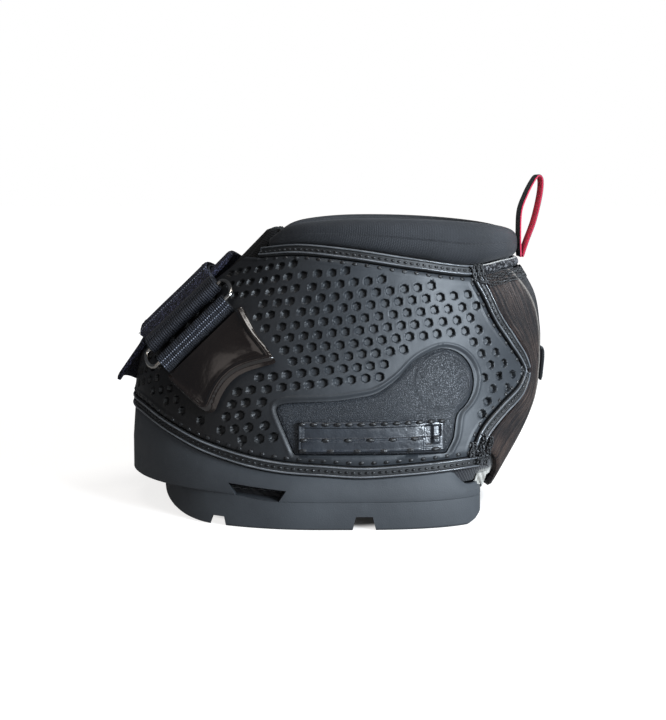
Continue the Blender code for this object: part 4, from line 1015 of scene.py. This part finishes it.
def band(name, angle, height, thickness, width=BAND_WIDTH, finish=PIPE_MAT, upright=False, profile=None):
    """A sweep along a path on the last that reaches down or back from it; returns it and its middle line."""
    points, faces = surface(angle, height), normal(angle, height)
    side = np.tile((0.0, 0.0, 1.0), (len(points), 1)) if upright else np.cross(faces, tangents(points))
    rings, middle, ups, crests = [], None, None, []
    for across, out in profile or band_profile():
        foot = points - side * (width * across)
        a = angle if upright else angle_of(foot)
        n = normal(a, foot[:, 2])
        if upright:
            n = unit(n * (1, 1, 0))
        ring = surface(a, foot[:, 2]) + n * (GAP + thickness * out)
        rings.append(ring)
        # each ring's crest share, which the piping's painted highlight reads
        crests.append(min(1.0, max(0.0, (out - 0.78) / 0.16)))
        if across == 0.5:
            middle, ups = ring + n * 0.0001, n
    rings = np.array(rings).transpose(1, 0, 2)
    swept = tube(name, rings, finish, uv=metric_uv(rings)[..., ::-1])
    mark(swept, "crest", np.concatenate((np.tile(crests, len(rings)), (0.0, 0.0))))
    return swept, middle, ups


def bands():
    thickness = PANEL + BAND_PROUD
    a = np.linspace(-REAR_ANGLES[0], REAR_ANGLES[0], 260) * pi
    welt, middle, ups = band("welt_band", a, rim_edge(a) + BAND_WIDTH + GAP, SOLE_WALL, upright=True)
    place(crisp(welt, 45), "root", "bottom_welt")
    stitches("welt_stitches", middle, ups, BAND_STITCH)
    a = np.linspace(-0.735, 0.735, 240) * pi
    for side, kept in (("near", a[a > 0.02]), ("far", a[a < -0.02])):
        sewn(f"welt_edge_stitches_{side}", kept, welt_seat(kept, PANEL) + 0.0013, GAP + PANEL, EDGE_STITCH)
    a = np.linspace(TOP_ANGLES[0], REAR_ANGLES[-1], 110) * pi
    top, rear = (a, top_edge(a)), rear_path(90)
    for label, path, edge in (("top", top, beside(*top, -BAND_WIDTH - 0.0016)),
                              ("rear", beside(*rear, BAND_WIDTH), beside(*rear, BAND_WIDTH + 0.0018))):
        strip, middle, ups = band(f"{label}_band_near", *path, thickness)
        place_pair(crisp(strip, 45), f"{label}_trim_near")
        sewn(f"{label}_edge_stitches_near", *edge, GAP + PANEL, EDGE_STITCH, True)
        stitches(f"{label}_stitches_near", middle, ups, BAND_STITCH, both=True)
    high, low = top_edge(REAR_ANGLES[-1] * pi), welt_seat(REAR_ANGLES[0] * pi, PANEL)
    tacks = ((0.744, high - 0.0085, high - 0.0002), (0.732, high - 0.0080, high - 0.0004),
             (0.719, high - 0.0072, high - 0.0010), (0.752, low - 0.0040, low + 0.0065),
             (0.738, low - 0.0035, low + 0.0075), (0.722, low - 0.0005, low + 0.0050))
    for i, (share, foot, head) in enumerate(tacks):
        turns = (share + 0.0045 * zigzag(16)) * pi
        out = GAP + thickness + 0.0001
        sewn(f"corner_tack_{i}_near", turns, np.linspace(foot, head, 16), out, TACK_STITCH, True)
    start = REAR_ANGLES[-1] + GAP / LAST_HALF_WIDTH
    a = np.linspace(start, 2 - start, 120) * pi
    turns = np.linspace(0.05, pi - 0.05, 13)
    fold = [(0.0, 0.0), *((0.5 - 0.5 * cos(t), 0.25 + 0.75 * abs(sin(t)) ** 0.6) for t in turns), (1.0, 0.0)]
    tape = band("binding_tape", a, top_edge(a), 0.0029, BINDING_WIDTH, BINDING_MAT, profile=fold)[0]
    place(crisp(tape, 60), "root", "heel_binding")


# Sole

SOLE_LIP, FLOOR_HEIGHT, FLOOR_FILLET, TREAD_EDGE = 0.0015, 0.0112, 0.0045, 0.0012
LEDGE_ANGLES, LEDGE_DEPTHS = (0.0, 0.10, 0.20, 0.28, 0.36), (1.0, 0.90, 0.42, 0.08, 0.0)
ROCKER = ((0.0, 0.0), (0.15, 0.03), (0.29, 0.08), (0.42, 0.135), (0.52, 0.20), (0.64, 0.30), (0.73, 0.42),
          (0.86, 0.64), (1.0, 1.0))
HEEL_BEVEL = ((0.0677, 0.0), (0.0677, -0.02), (0.0947, -0.02), (0.0947, 0.0055), (0.0747, 0.0055),
              (0.0715, 0.0021))
# Middle, mouth, root and depth of each cross groove
GROOVES = ((-0.034, 0.0066, 0.0050, 0.0038), (0.0256, 0.0095, 0.0068, 0.0055))
DRAIN_SLOT = ((-0.0179, 0.0), (0.0179, 0.0), (0.0239, 0.0047), (-0.0239, 0.0047))


def sole_ring(a, height, out, rear, corner):
    point = laid(a, np.maximum(height, RIM_HEIGHT), out)
    point[:, 2] = height
    short = rear - point[:, 0]
    point[:, 0] = rear - (np.sqrt(short * short + corner * corner) + short) / 2
    return point


def sole_cuts():
    """The tread's rocker, heel bevel, cross grooves, V notch and the drain slots."""
    rocker = [(-0.036 - 0.0285 * x, 0.012 * z) for x, z in ROCKER]
    rocker += [(-0.0845, 0.012), (-0.0845, -0.02), (-0.036, -0.02)]
    outlines = [rocker, HEEL_BEVEL]
    for middle, mouth, root, depth in GROOVES:
        half, low = mouth / 2, root / 2
        outlines.append([(middle - half, -0.02), (middle + half, -0.02), (middle + half, 0.0),
                         (middle + low, depth), (middle - low, depth), (middle - half, 0.0)])
    outlines.append([(-0.0178 + x / 2, 0.0121 + up - 0.085 * x / 2) for x, up in DRAIN_SLOT])
    notch = np.array([[(0.036, 0, z), (0.0947, -0.021, z), (0.0947, 0.021, z)] for z in (-0.02, 0.003)])
    return [prism("tread_cut", outline, -0.086, 0.086) for outline in outlines] + [tube("notch", notch, None)]


def outsole():
    a = np.linspace(0, tau, 281)[:-1]
    share = folded(a)
    parting = 0.0134 + (0.0113 - 0.0134) * ease(0.34, 0.44, share)
    ledge = 0.0003 + 0.0135 * through(LEDGE_ANGLES, LEDGE_DEPTHS, share)
    top = rim_edge(a) - 0.0062 * ease(0.70, 0.733, share)
    groove = 0.0001 + 0.0004 * (1 - ease(0.22, 0.36, share))
    wall, rear, inner_rear = GAP + SOLE_WALL, SOLE_REAR, SOLE_REAR - SOLE_WALL
    inside = GAP - 0.8 * (ledge - 0.0003)
    # Each ring's height, its distance out from the last and where the rear cuts it off
    levels = []
    for t in np.linspace(0, pi / 2, 5):
        inset = TREAD_EDGE * (1 - sin(t))
        levels.append((TREAD_EDGE * (1 - cos(t)), wall - inset - ledge, rear - inset))
    levels += [
        (parting - 0.0006, wall - ledge, rear), (parting - 0.0001, wall - ledge - groove / 2, rear - 0.0001),
        (parting + 0.0001, wall - groove, rear - 0.0001), (parting + 0.0005, wall, rear),
        (parting + 0.0016, wall, rear), ((parting + top) / 2, wall, rear),
        (top - 0.0016, wall - SOLE_LIP * 0.72, rear - SOLE_LIP * 0.72),
        (top - 0.0003, wall - SOLE_LIP, rear - SOLE_LIP), (top, wall - SOLE_LIP * 1.25, rear - SOLE_LIP * 1.25),
        (top, GAP, inner_rear), (FLOOR_HEIGHT + FLOOR_FILLET, GAP, inner_rear),
        (FLOOR_HEIGHT + FLOOR_FILLET * 0.85, inside - FLOOR_FILLET * 0.1, inner_rear),
        (FLOOR_HEIGHT, inside - FLOOR_FILLET, inner_rear - FLOOR_FILLET),
    ]
    rings = [sole_ring(a, height + 0 * a, out + 0 * a, back, 0.003 if back > inner_rear else GAP)
             for height, out, back in levels]
    sole = cut(tube("sole_cup", np.array(rings), SOLE_MAT), sole_cuts())
    place(crisp(sole, 32), "root", "outsole")


# Heel

HEEL_THICK, STRIP_THICK = 0.0026, 0.0013
HEEL_LOW_ANGLES = (0.745, 0.765, 0.80, 0.84, 0.885, 1.0)
HEEL_LOW_RISES = (0.0085, 0.0082, 0.0022, -0.0060, -0.0105, -0.0105)
SEAM_HEIGHTS = (0.0, 0.030, 0.045, 0.062, 0.080, 0.0935, 0.100, 0.12)
SEAM_ANGLES = (0.87, 0.885, 0.905, 0.925, 0.918, 0.878, 0.855, 0.80)


def heel_counter():
    rows, columns = 90, 170
    near = beside(*rear_path(rows), -3 * GAP)
    lows, highs = (np.linspace(near[0][end], tau - near[0][end], columns + 1) for end in (0, -1))
    lower = (lows, RIM_HEIGHT + through(HEEL_LOW_ANGLES, HEEL_LOW_RISES, folded(lows)))
    upper = (highs, top_edge(highs) - BINDING_WIDTH - 2 * GAP)
    near[1][0], near[1][-1] = lower[1][0], upper[1][0]
    angle, height = patch(lower, upper, near, (tau - near[0], near[1]), *shares(columns, rows))
    base, face = surface(angle, height), normal(angle, height)
    away = (folded(angle) - through(SEAM_HEIGHTS, SEAM_ANGLES, height)) / 0.010
    uv = metric_uv(base)
    side = np.minimum.reduce(edge_rooms(uv))
    out = GAP + 0.0024 + 0.00040 * bell(away, 0, 1) - 0.0008 * (1 - ease(0, 0.0014, side))
    heel = slab("heel_wrap", raised(base, face, out), raised(base, face, GAP), HEEL_MAT, uv)
    zone, seam = ease(0.2, 1.6, away), bell(away, 0, 0.5) * ease(0.028, 0.045, height)
    for name, values in (("zone", zone), ("seam", seam)):
        mark(heel, name, np.tile(values.ravel(), 2))
    place(crisp(heel, 60), "root", "heel_counter")
    a = np.linspace(0.752, 1.248, 150) * pi
    for drop in (0.0062, 0.0088):
        h = top_edge(a) - drop + 0.0011 * zigzag(150)
        sewn(f"heel_zigzag_{int(drop * 1e4)}", a, h, 0.0030, ZIGZAG_STITCH)


def heel_strip():
    u, v = np.meshgrid(np.linspace(-1, 1, 25), np.linspace(-1, 1, 21))
    a, h = pi + u * 0.016 / 2 / LAST_HALF_WIDTH, 0.059 + 0.0135 * v / 2
    seat = HEEL_THICK + 2 * GAP
    out = seat + STRIP_THICK - 0.0004 * ease(0.82, 1.0, np.maximum(np.abs(u), np.abs(v)))
    base, face = surface(a, h), normal(a, h)
    strip = slab("heel_tab", raised(base, face, out), raised(base, face, seat), STRAP_MAT, metric_uv(base))
    place(crisp(strip, 50), "root", "heel_strip")


# Collar, tongue and lining

COLLAR_ANGLES = (0.205, 0.26, 0.33, 0.45, 0.62, 0.80, 0.92, 1.0)
COLLAR_TOPS = (0.93, 0.972, 0.99, 1.0, 0.997, 0.979, 0.962, 0.95)
COLLAR_FULL = (0.45, 0.75, 1.0, 1.0, 1.0, 1.0, 1.0, 1.0)
COLLAR_OUT, COLLAR_DEEP, COLLAR_SQUARE = 0.0034, 0.0125, 2.9
TONGUE_FOOT, TONGUE_TOP, TONGUE_THICK = 0.0508, 0.1212, 0.0044
LINING_FOOT, LINING_THICK = 0.0168, 0.0045


def collar():
    stations, sides = 230, 64
    share = np.linspace(COLLAR_ANGLES[0], 2 - COLLAR_ANGLES[0], stations + 1)
    a = share * pi
    turn = folded(a)
    bottom = top_edge(a) + GAP
    top = BOOT_HEIGHT * through(COLLAR_ANGLES, COLLAR_TOPS, turn)
    full = through(COLLAR_ANGLES, COLLAR_FULL, turn)
    full = full * np.minimum(1, 0.35 + 18 * np.minimum(share - share[0], share[-1] - share)) ** 0.5
    seat, outward_way = surface(a, bottom), unit(normal(a, bottom) * (1, 1, 0))
    rings = []
    waves = np.random.default_rng(4).uniform(0, tau, 5)
    for i in range(sides):
        way = tau * (i + 0.5) / sides
        slow, quick = share * 31 + waves[0] + 2 * cos(way), share * 57 + waves[1] + way
        puff = 1 + 0.018 * np.sin(slow) + 0.012 * np.sin(quick)
        square = (abs(cos(way)) ** COLLAR_SQUARE + abs(sin(way)) ** COLLAR_SQUARE) ** (-1 / COLLAR_SQUARE)
        out = COLLAR_OUT * full - COLLAR_DEEP * full * (1 - cos(way) * square) / 2
        middle = -COLLAR_DEEP * full / 2 + COLLAR_OUT * full
        out = middle + (out - middle) * puff
        up = (top - bottom) * (1 + sin(way) * square) / 2
        seam = 0.0006 * bell(way, 2.15, 0.07)
        aside = outward_way * (out - seam * np.sign(cos(way)))[:, None]
        rings.append(seat + aside + np.stack((0 * up, 0 * up, up - seam), 1))
    rings = np.array(rings).transpose(1, 0, 2)
    roll = tube("collar_roll", rings, KNIT_MAT, uv=metric_uv(rings)[..., ::-1])
    place(roll, "root", "padded_collar")


def throat_half(h):
    return LAST_HALF_WIDTH * through(THROAT_HEIGHTS, THROAT_WIDTHS, h / BOOT_HEIGHT)


def tongue():
    v = np.linspace(0, 1, 71)
    h = TONGUE_FOOT + (TONGUE_TOP - TONGUE_FOOT) * v
    crown = 1 - 0.40 * ease(0.65, 1.0, v)
    spread = np.arcsin(crown * (throat_half(h) - 0.0026) / section(h)[2])
    pad = 0.0040 * ease(0.55, 0.9, v)
    s, hh = np.meshgrid(np.linspace(-1, 1, 41), h)
    quilt = 0.0007 * bell(np.abs(s), 0.72, 0.05) + 0.0006 * bell(s, 0, 0.04) * ease(0.2, 0.5, v)[:, None]
    edge = 0.0016 * (1 - ease(0, 0.10, 1 - np.abs(s))) + 0.0014 * (1 - ease(0, 0.03, 1 - v))[:, None]
    front = laid(spread[:, None] * s, hh, -GAP - quilt - edge)
    back = laid(spread[:, None] * s, hh, -GAP - TONGUE_THICK - pad[:, None] * (1 - s * s) + edge + quilt)
    pad_piece = slab("tongue_pad", front, back, TONGUE_MAT, metric_uv(front))
    place(pad_piece, "tongue", "tongue")


def lining():
    columns, rows = 300, 40
    a = np.linspace(0, tau, columns + 1)[:-1]
    v = np.linspace(0, 1, rows + 1)
    h = LINING_FOOT + (top_edge(a) - LINING_FOOT)[None, :] * v[:, None]
    aa = np.broadcast_to(a, h.shape)
    seam = 0.0006 * bell(h, 0.062, 0.0010) + 0.0006 * bell(folded(aa), 0.72, 0.008)
    outer, inner = laid(aa, h, -GAP), laid(aa, h, -GAP - LINING_THICK + seam)[::-1]
    shell = tube("lining_shell", np.concatenate((outer, inner)), FOAM_MAT, closed=True,
                 uv=np.concatenate((metric_uv(outer), metric_uv(inner))))
    heights = np.linspace(0.050, BOOT_HEIGHT, 12)
    half = throat_half(heights)
    rim = np.concatenate((np.stack((-half, heights), 1), np.stack((half, heights), 1)[::-1]))
    end = section(BOOT_HEIGHT)[3] - TOE_REACH / 3
    rings = np.array([[(x, y, z) for y, z in rim] for x in (-TOE_REACH - 0.02, float(end))])
    cut(shell, [tube("throat", rings, None)])
    place(crisp(shell, 50), "root", "inner_liner")
    u, v = np.meshgrid(np.linspace(0.758, 0.788, 60), np.linspace(0, 1, 14))
    ragged = np.random.default_rng(7).uniform(0.55, 1.0, 60)[None, :]
    h = 0.0195 - 0.0062 * v * ragged
    wave = 0.0009 * v * np.sin(u * 690 + 2 * np.sin(u * 261))
    front = laid(u * pi, h, 0.0006 + wave)
    place_pair(slab("lining_tuft_near", front, laid(u * pi, h, wave), FRAY_MAT, metric_uv(front)))


# Closure

TILT = radians(44)
LEVEL = np.array((cos(TILT), 0, sin(TILT)))
FRONT = np.array((-sin(TILT), 0, cos(TILT)))
STRAP_LEVEL, STRAP_CORE, STRAP_WIDTH, STRAP_THICK = 0.0205, 0.050, 0.040, 0.0014
RING_CENTRE = np.array((-0.04871, -0.03621, 0.07996))
RING_NORMAL = np.array((-0.57329, -0.56473, 0.59365))
REARWARD = np.array((0.39229, -0.82528, -0.40623))
RING_WIRE, RING_SPAN, RING_BULGE = 0.0020, 0.0120, 0.0028
LAP_THICK, LAP_CLEAR = 0.0022, 0.0006
HINGE = np.array((-0.05352, -0.03088, 0.08494))
LEAD = RING_SPAN / 2
FRONT_BAR, REAR_BAR = RING_CENTRE - REARWARD * LEAD, RING_CENTRE + REARWARD * LEAD
BEND = RING_WIRE / 2 + GAP + STRAP_THICK / 2
STRAP_SEAT = GAP + PANEL + GAP
TAB_WIDTH, TAB_THICK, TAB_REACH = 0.0380, 0.0022, 0.0112
RIB_RISE, RIB_STEP = 0.00020, 0.001


def from_bar(bar, backs, ups, offsets):
    """A grid of points set off from a bar of the ring: rearwards and outwards in rows, along it in columns."""
    spots = bar + np.multiply.outer(backs, REARWARD) + np.multiply.outer(ups, RING_NORMAL)
    return spots[:, None] + np.multiply.outer(offsets, LEVEL)


def band_point(level_at, turn, out):
    """The point of the strap's path at a level along the boot and a turn round its core."""
    level_at, turn = np.broadcast_arrays(np.asarray(level_at, float), np.asarray(turn, float))
    core = LEVEL * level_at[..., None] + FRONT * STRAP_CORE
    way = FRONT * np.cos(turn)[..., None] + np.array((0, -1.0, 0)) * np.sin(turn)[..., None]
    near, far = np.zeros(level_at.shape), np.full(level_at.shape, BOOT_HEIGHT)
    for _ in range(28):
        mid = (near + far) / 2
        p = core + way * mid[..., None]
        toe, heel, half, middle, power = section(p[..., 2])
        front = p[..., 0] < middle
        reach = np.where(front, middle - toe, heel - middle)
        power = np.where(front, 2.0, power)
        inside = (np.abs(p[..., 0] - middle) / reach) ** power + (np.abs(p[..., 1]) / half) ** power < 1
        near, far = np.where(inside, mid, near), np.where(inside, far, mid)
    p = core + way * near[..., None]
    return raised(p, normal(angle_of(p), p[..., 2]), out)


def faces_of(grid):
    return unit(np.cross(np.gradient(grid, axis=1), np.gradient(grid, axis=0)))


def ribbon(name, centres, thickness, finish, edge=0.0004):
    """A strap through a grid of centre points, with rounded edges."""
    uv = metric_uv(centres)
    half = thickness / 2 - edge * (1 - ease(0, 0.0008, np.minimum.reduce(edge_rooms(uv))))
    face = faces_of(centres)
    return slab(name, raised(centres, face, half), raised(centres, face, -half), finish, uv)


def row_of(centres, column, lift):
    """The line of one column of a strap's grid, raised to its face, with the face's direction."""
    line, up = centres[:, column], faces_of(centres)[:, column]
    if np.mean(np.sum((line - (0.01, 0, 0.05)) * up, 1)) < 0:
        up = -up
    return line + up * lift, up


def closure_strap():
    low = STRAP_SEAT + STRAP_THICK / 2
    offsets = np.linspace(-STRAP_WIDTH / 2, STRAP_WIDTH / 2, 49)
    turns = np.linspace(radians(-80), radians(20), 110)
    rise = low + (LAP_THICK + LAP_CLEAR) * ease(radians(-62), radians(-50), turns)
    lap = band_point(STRAP_LEVEL + offsets[None, :], turns[:, None], rise[:, None])
    places = [(-LEAD, -BEND * 1.2), (-LEAD * 0.6, -BEND * 1.08), (-LEAD / 3, -BEND)]
    places += [(BEND * cos(t), BEND * sin(t)) for t in np.linspace(-pi / 2, pi / 2, 13)] + [(-LEAD / 3, BEND)]
    bend = from_bar(FRONT_BAR, *np.transpose(places), offsets)
    strap = ribbon("main_strap", np.concatenate((lap, bend)), STRAP_THICK, WEB_MAT)
    place(crisp(strap, 60), "root", "closure_strap")
    for name, turn in (("strap_root_stitches", -76), ("strap_root_stitches_two", -72)):
        line = band_point(STRAP_LEVEL + np.linspace(-0.017, 0.017, 40), radians(turn), low + STRAP_THICK / 2)
        stitches(name, line, normal(angle_of(line), line[:, 2]))


def strap_end():
    high = STRAP_SEAT + LAP_THICK + 2 * LAP_CLEAR + STRAP_THICK * 1.5
    offsets = np.linspace(-STRAP_WIDTH / 2, STRAP_WIDTH / 2, 61)
    backs = (-LEAD / 3 - 2 * GAP, -LEAD * 0.65, -LEAD, -LEAD * 1.3, -LEAD * 1.6)
    ups = (BEND, BEND * 0.78, BEND / 2, BEND * 0.12, -BEND / 4)
    turns = np.linspace(radians(20), radians(-42), 84)
    lap = band_point(STRAP_LEVEL + offsets[None, :], turns[:, None], high)
    centres = np.concatenate((from_bar(FRONT_BAR, backs, ups, offsets), lap))
    end = ribbon("strap_tail", centres, STRAP_THICK, PILE_MAT)
    end.data.materials.append(WEB_MAT)
    end.data.materials.append(STRAP_MAT)
    back = (np.array([p.center[:] for p in end.data.polygons]) - HINGE) @ REARWARD
    end.data.polygons.foreach_set("material_index", np.where(back > -0.0034, 1, np.where(back > -0.0058, 2, 0)))
    place(crisp(end, 60), "strap_end", "strap_end")
    across, up = centres[7], faces_of(centres)[7]
    up = up if up[30] @ RING_NORMAL > 0 else -up
    across = across + up * (STRAP_THICK / 2 + 0.0001)
    stitches("tail_stitches", across, up, TAIL_STITCH, "strap_end", PALE_THREAD)
    for name, column in (("tail_edge_low", 3), ("tail_edge_high", 57)):
        line, up = row_of(centres, column, STRAP_THICK / 2)
        stitches(name, line[4:], up[4:], TAIL_EDGE_STITCH, "strap_end")


def under_flap():
    u, v = shares(70, 90)
    tab, body, split = 0.0222, 0.052, -0.005
    height = -tab + (body + tab) * v
    spread = through((0.0, 0.20, 0.30, 0.55, 0.90, 1.0), (0.55, 0.62, 0.95, 1.0, 1.0, 0.75), v)
    turn = (radians(-46) + (radians(17) + radians(46)) * u) * spread
    short = np.maximum(split - height, 0)
    edge = np.minimum(np.minimum(u, 1 - u) * 0.06, np.minimum(v, 1 - v) * 0.074)
    thin = 0.0006 * (1 - ease(0, 0.0012, edge))
    base = band_point(np.maximum(height, split), turn, STRAP_SEAT)
    face = normal(angle_of(base), base[..., 2])
    inner = base - LEVEL * short[..., None] - FRONT * (short * 0.20)[..., None]
    flap = slab("front_flap", raised(inner, face, LAP_THICK - thin), raised(inner, face, thin * 0.3), PILE_MAT,
                metric_uv(base))
    place(crisp(flap, 60), "root", "under_flap")


def ring():
    straight = STRAP_WIDTH / 2 + 0.0012
    path = np.array([LEVEL * end * (straight + RING_BULGE * sin(t)) + REARWARD * end * LEAD * cos(t)
                     for end in (1, -1) for t in np.linspace(0, pi, 26)]) + RING_CENTRE
    way = unit(np.roll(path, -1, 0) - np.roll(path, 1, 0))
    up = np.tile(RING_NORMAL, (len(path), 1))
    side = unit(np.cross(way, up))
    turns = np.linspace(0, tau, 17)[:-1, None]
    wire = RING_WIRE / 2 * (side[:, None] * np.cos(turns) + up[:, None] * np.sin(turns))
    place(tube("wire_ring", path[:, None] + wire, RING_MAT, closed=True), "ring", "closure_ring")


def ring_tab():
    """The webbing loop round the ring's rear bar, ribbed along its width."""
    inner = RING_WIRE / 2 + GAP
    outer = inner + TAB_THICK / 2
    across = np.linspace(-TAB_WIDTH / 2, TAB_WIDTH / 2, 38 * 6 + 1)
    reach = TAB_REACH - LEAD
    outline = [(reach, -0.0024 + TAB_THICK / 2), (reach * 0.7, 0.0002), (reach * 0.45, 0.0012)]
    outline += [(outer * cos(t), outer * sin(t)) for t in np.linspace(pi * 0.35, pi * 1.75, 22)]
    outline = np.array(outline + [(reach * 0.5, -0.0030), (reach, -0.0024 - TAB_THICK / 2)])
    rings = []
    for p in across:
        ribbed = outline + unit(outline) * (RIB_RISE * cos(p / RIB_STEP * tau))
        rings.append(from_bar(REAR_BAR, *ribbed.T, [p])[:, 0])
    rings = np.array(rings)
    tab = tube("webbing_tab", rings, WEB_MAT, uv=metric_uv(rings)[..., ::-1])
    turns = np.linspace(0, tau, 23)[:-1]
    hole = from_bar(REAR_BAR, inner * np.cos(turns), inner * np.sin(turns), (-0.03, 0.03)).transpose(1, 0, 2)
    cut(tab, [tube("bore", hole, None)])
    place(crisp(tab, 55), "root", "ring_tab")
    slope = np.tile(REARWARD * 0.61 + RING_NORMAL * 0.79, (50, 1))
    for name, back, up in (("tab_stitches_low", 0.0045, -0.0001), ("tab_stitches_high", 0.00275, 0.00135)):
        line = from_bar(REAR_BAR, [back], [up], np.linspace(-0.0185, 0.0185, 50))[0]
        stitches(name, line, slope, FINE_STITCH, finish=PALE_THREAD)


def anchor_plate():
    seat = PANEL + 2 * GAP

    def relief(x, z):
        away = -distance_to(plate_outline(), x, z)
        rise = 0.0012 + 0.0016 * np.sqrt(np.clip(1 - ((np.clip(away, 0, 0.0024) - 0.0012) / 0.0013) ** 2, 0, 1))
        rise = np.where(away > 0.0012, np.maximum(rise, 0.0020 - 0.0003 * ease(0.002, 0.006, away)), rise)
        along = (x - RING_CENTRE[0]) * REARWARD[0] + (z - RING_CENTRE[2]) * REARWARD[2]
        flutes = 0.00012 * np.cos(((x * LEVEL[0] + z * LEVEL[2]) / 0.0021) * tau)
        return seat + rise + flutes * ease(0.0026, 0.0036, away) * (1 - ease(0.0045, 0.0065, along))

    plate = trimmed("plate_piece", (0.10, 0.56), (0.0440, 0.0900), 190, 120, relief, seat, GLOSS_MAT,
                    plate_outline())
    place(plate, "root", "anchor_plate")


LOOP_ROOT, LOOP_REACH, LOOP_RISE = np.array((0.09689, 0.0, 0.1072)), 0.0085, 0.0362
LOOP_KNOTS = np.array((
    (0.06, -0.012), (0.04, 0.28), (0.10, 0.56), (0.40, 0.76), (0.72, 0.91), (1.00, 1.00), (1.20, 0.97),
    (1.22, 0.86), (1.10, 0.68), (0.82, 0.42), (0.44, 0.18), (0.17, -0.012),
))


def pull_loop():
    """The ribbon loop at the heel: black outside, crimson inside and on its edges."""
    n = np.arange(len(LOOP_KNOTS))
    t = np.linspace(0, n[-1], 90)
    xs, zs = through(n, LOOP_KNOTS[:, 0], t) * LOOP_REACH, through(n, LOOP_KNOTS[:, 1], t) * LOOP_RISE
    across = np.linspace(-0.007, 0.007, 25)
    centres = np.array([[LOOP_ROOT + (x, y, z) for y in across] for x, z in zip(xs, zs)])
    loop = ribbon("ribbon_loop", centres, 0.0010, BLACK_MAT, 0.0003)
    loop.data.materials.append(RED_MAT)
    middle = Vector(LOOP_ROOT + (0.0052, 0, 0.0235))
    for polygon in loop.data.polygons:
        if abs(polygon.normal.y) > 0.5 or polygon.normal.dot(middle - polygon.center) > 0:
            polygon.material_index = 1
    place(crisp(loop, 60), "loop", "pull_loop")


def footbed():
    board = NODES["insole_board"].data
    board.materials.clear()
    board.materials.append(BOARD_MAT)
    board.set_sharp_from_angle(angle=radians(35))


for build in (outsole, side_panels, side_inlays, strap_boxes, bands, heel_counter, heel_strip,
              collar, tongue, lining, closure_strap, strap_end, under_flap, ring, ring_tab, anchor_plate,
              pull_loop, footbed):
    build()


# Floor, light and camera

# Each light's place, aim, size, power and colour
LIGHTS = {
    "key_light": ((0.78, -0.76, 0.36), (0.04, 0, 0.06), (0.40, 0.40), 24, (0.80, 0.90, 1.0)),
    "front_light": ((0.25, -1.10, 0.35), (0.03, 0, 0.06), (0.4, 0.3), 1.8, (0.88, 0.94, 1.0)),
    "top_light": ((0.10, -0.20, 0.80), (0.02, 0, 0.06), (0.8, 0.16), 2.8, (1.0, 0.97, 0.93)),
    "rear_light": ((0.75, 0.45, 0.45), (0.05, 0, 0.07), (0.4, 0.5), 3, (0.85, 0.93, 1.0)),
    "toe_fill": ((-0.65, -0.60, 0.35), (-0.03, 0, 0.06), (0.4, 0.4), 0.34, (1.0, 0.90, 0.84)),
}


def stage_floor():
    """A pale floor that the camera sees as paper white, with a faint shadow, partly real and partly painted:
    its glow is weaker near the boot and almost off under its outline.
    """
    s = Finish("floor_paint", 0.9)
    s.coat_with((0.38, 0.37, 0.36))
    seen = s.add("ShaderNodeLightPath").outputs["Is Camera Ray"]
    s.feed(s.shader["Emission Color"], s.mix(seen, (0.0, 0.0, 0.0), (1.0, 0.99, 0.98)))
    away = s.vector("LENGTH", s.where)["Value"]
    oval = s.vector("MULTIPLY_ADD", s.where, (15.0, 15.4, 0.0), (-0.20, 0.0, 0.0))[0]
    under = s.vector("LENGTH", oval)["Value"]
    # painted shadow: the floor's glow is nearly off inside an oval under the boot, and weaker near it
    outside_painted_shadow = s.span(under, 0.90, 1.06, 0.02, 1.0, smooth=True)
    s.feed(s.shader["Emission Strength"], s.times(outside_painted_shadow, s.span(away, 0.15, 0.9, 0.82, 1.0)))
    corners = [(-9, -9, 0), (9, -9, 0), (9, 9, 0), (-9, 9, 0)]
    object_from("studio_floor", corners, [(0, 1, 2, 3)], material=s.made)


def lighting():
    world = bpy.data.worlds.new("studio")
    bpy.context.scene.world = world
    world.use_nodes = True
    s = Sheet(world.node_tree)
    back = world.node_tree.nodes["Background"].inputs
    seen = s.add("ShaderNodeLightPath").outputs["Is Camera Ray"]
    s.feed(back["Color"], s.mix(seen, (0.80, 0.88, 1.0), (1.0, 1.0, 1.0)))
    s.feed(back["Strength"], s.span(seen, 0, 1, 0.10, 1.0))
    for name, (stand, aim, size, power, colour) in LIGHTS.items():
        light = bpy.data.lights.new(name, "AREA")
        light.shape = "RECTANGLE"
        light.size, light.size_y = size
        light.energy, light.color = power, colour
        item = linked(name, light)
        item.location = stand
        item.rotation_euler = (Vector(aim) - Vector(stand)).to_track_quat("-Z", "Y").to_euler()


def camera():
    """Level with the collar; the shift keeps the boot's place in the frame."""
    data = bpy.data.cameras.new("photo_camera")
    data.lens, data.sensor_fit = LENS, "VERTICAL"
    data.sensor_width = data.sensor_height = FILM
    data.shift_y = -(FRAME_HIGH / 2 - HORIZON) / FRAME_HIGH
    data.clip_start = 0.01
    item = linked("photo_camera", data)
    item.location = (CAMERA_X, -CAMERA_BACK, CAMERA_HEIGHT)
    item.rotation_euler = (radians(90), 0, 0)
    bpy.context.scene.camera = item


stage_floor()
lighting()
camera()
bpy.context.scene.view_settings.view_transform = "Standard"
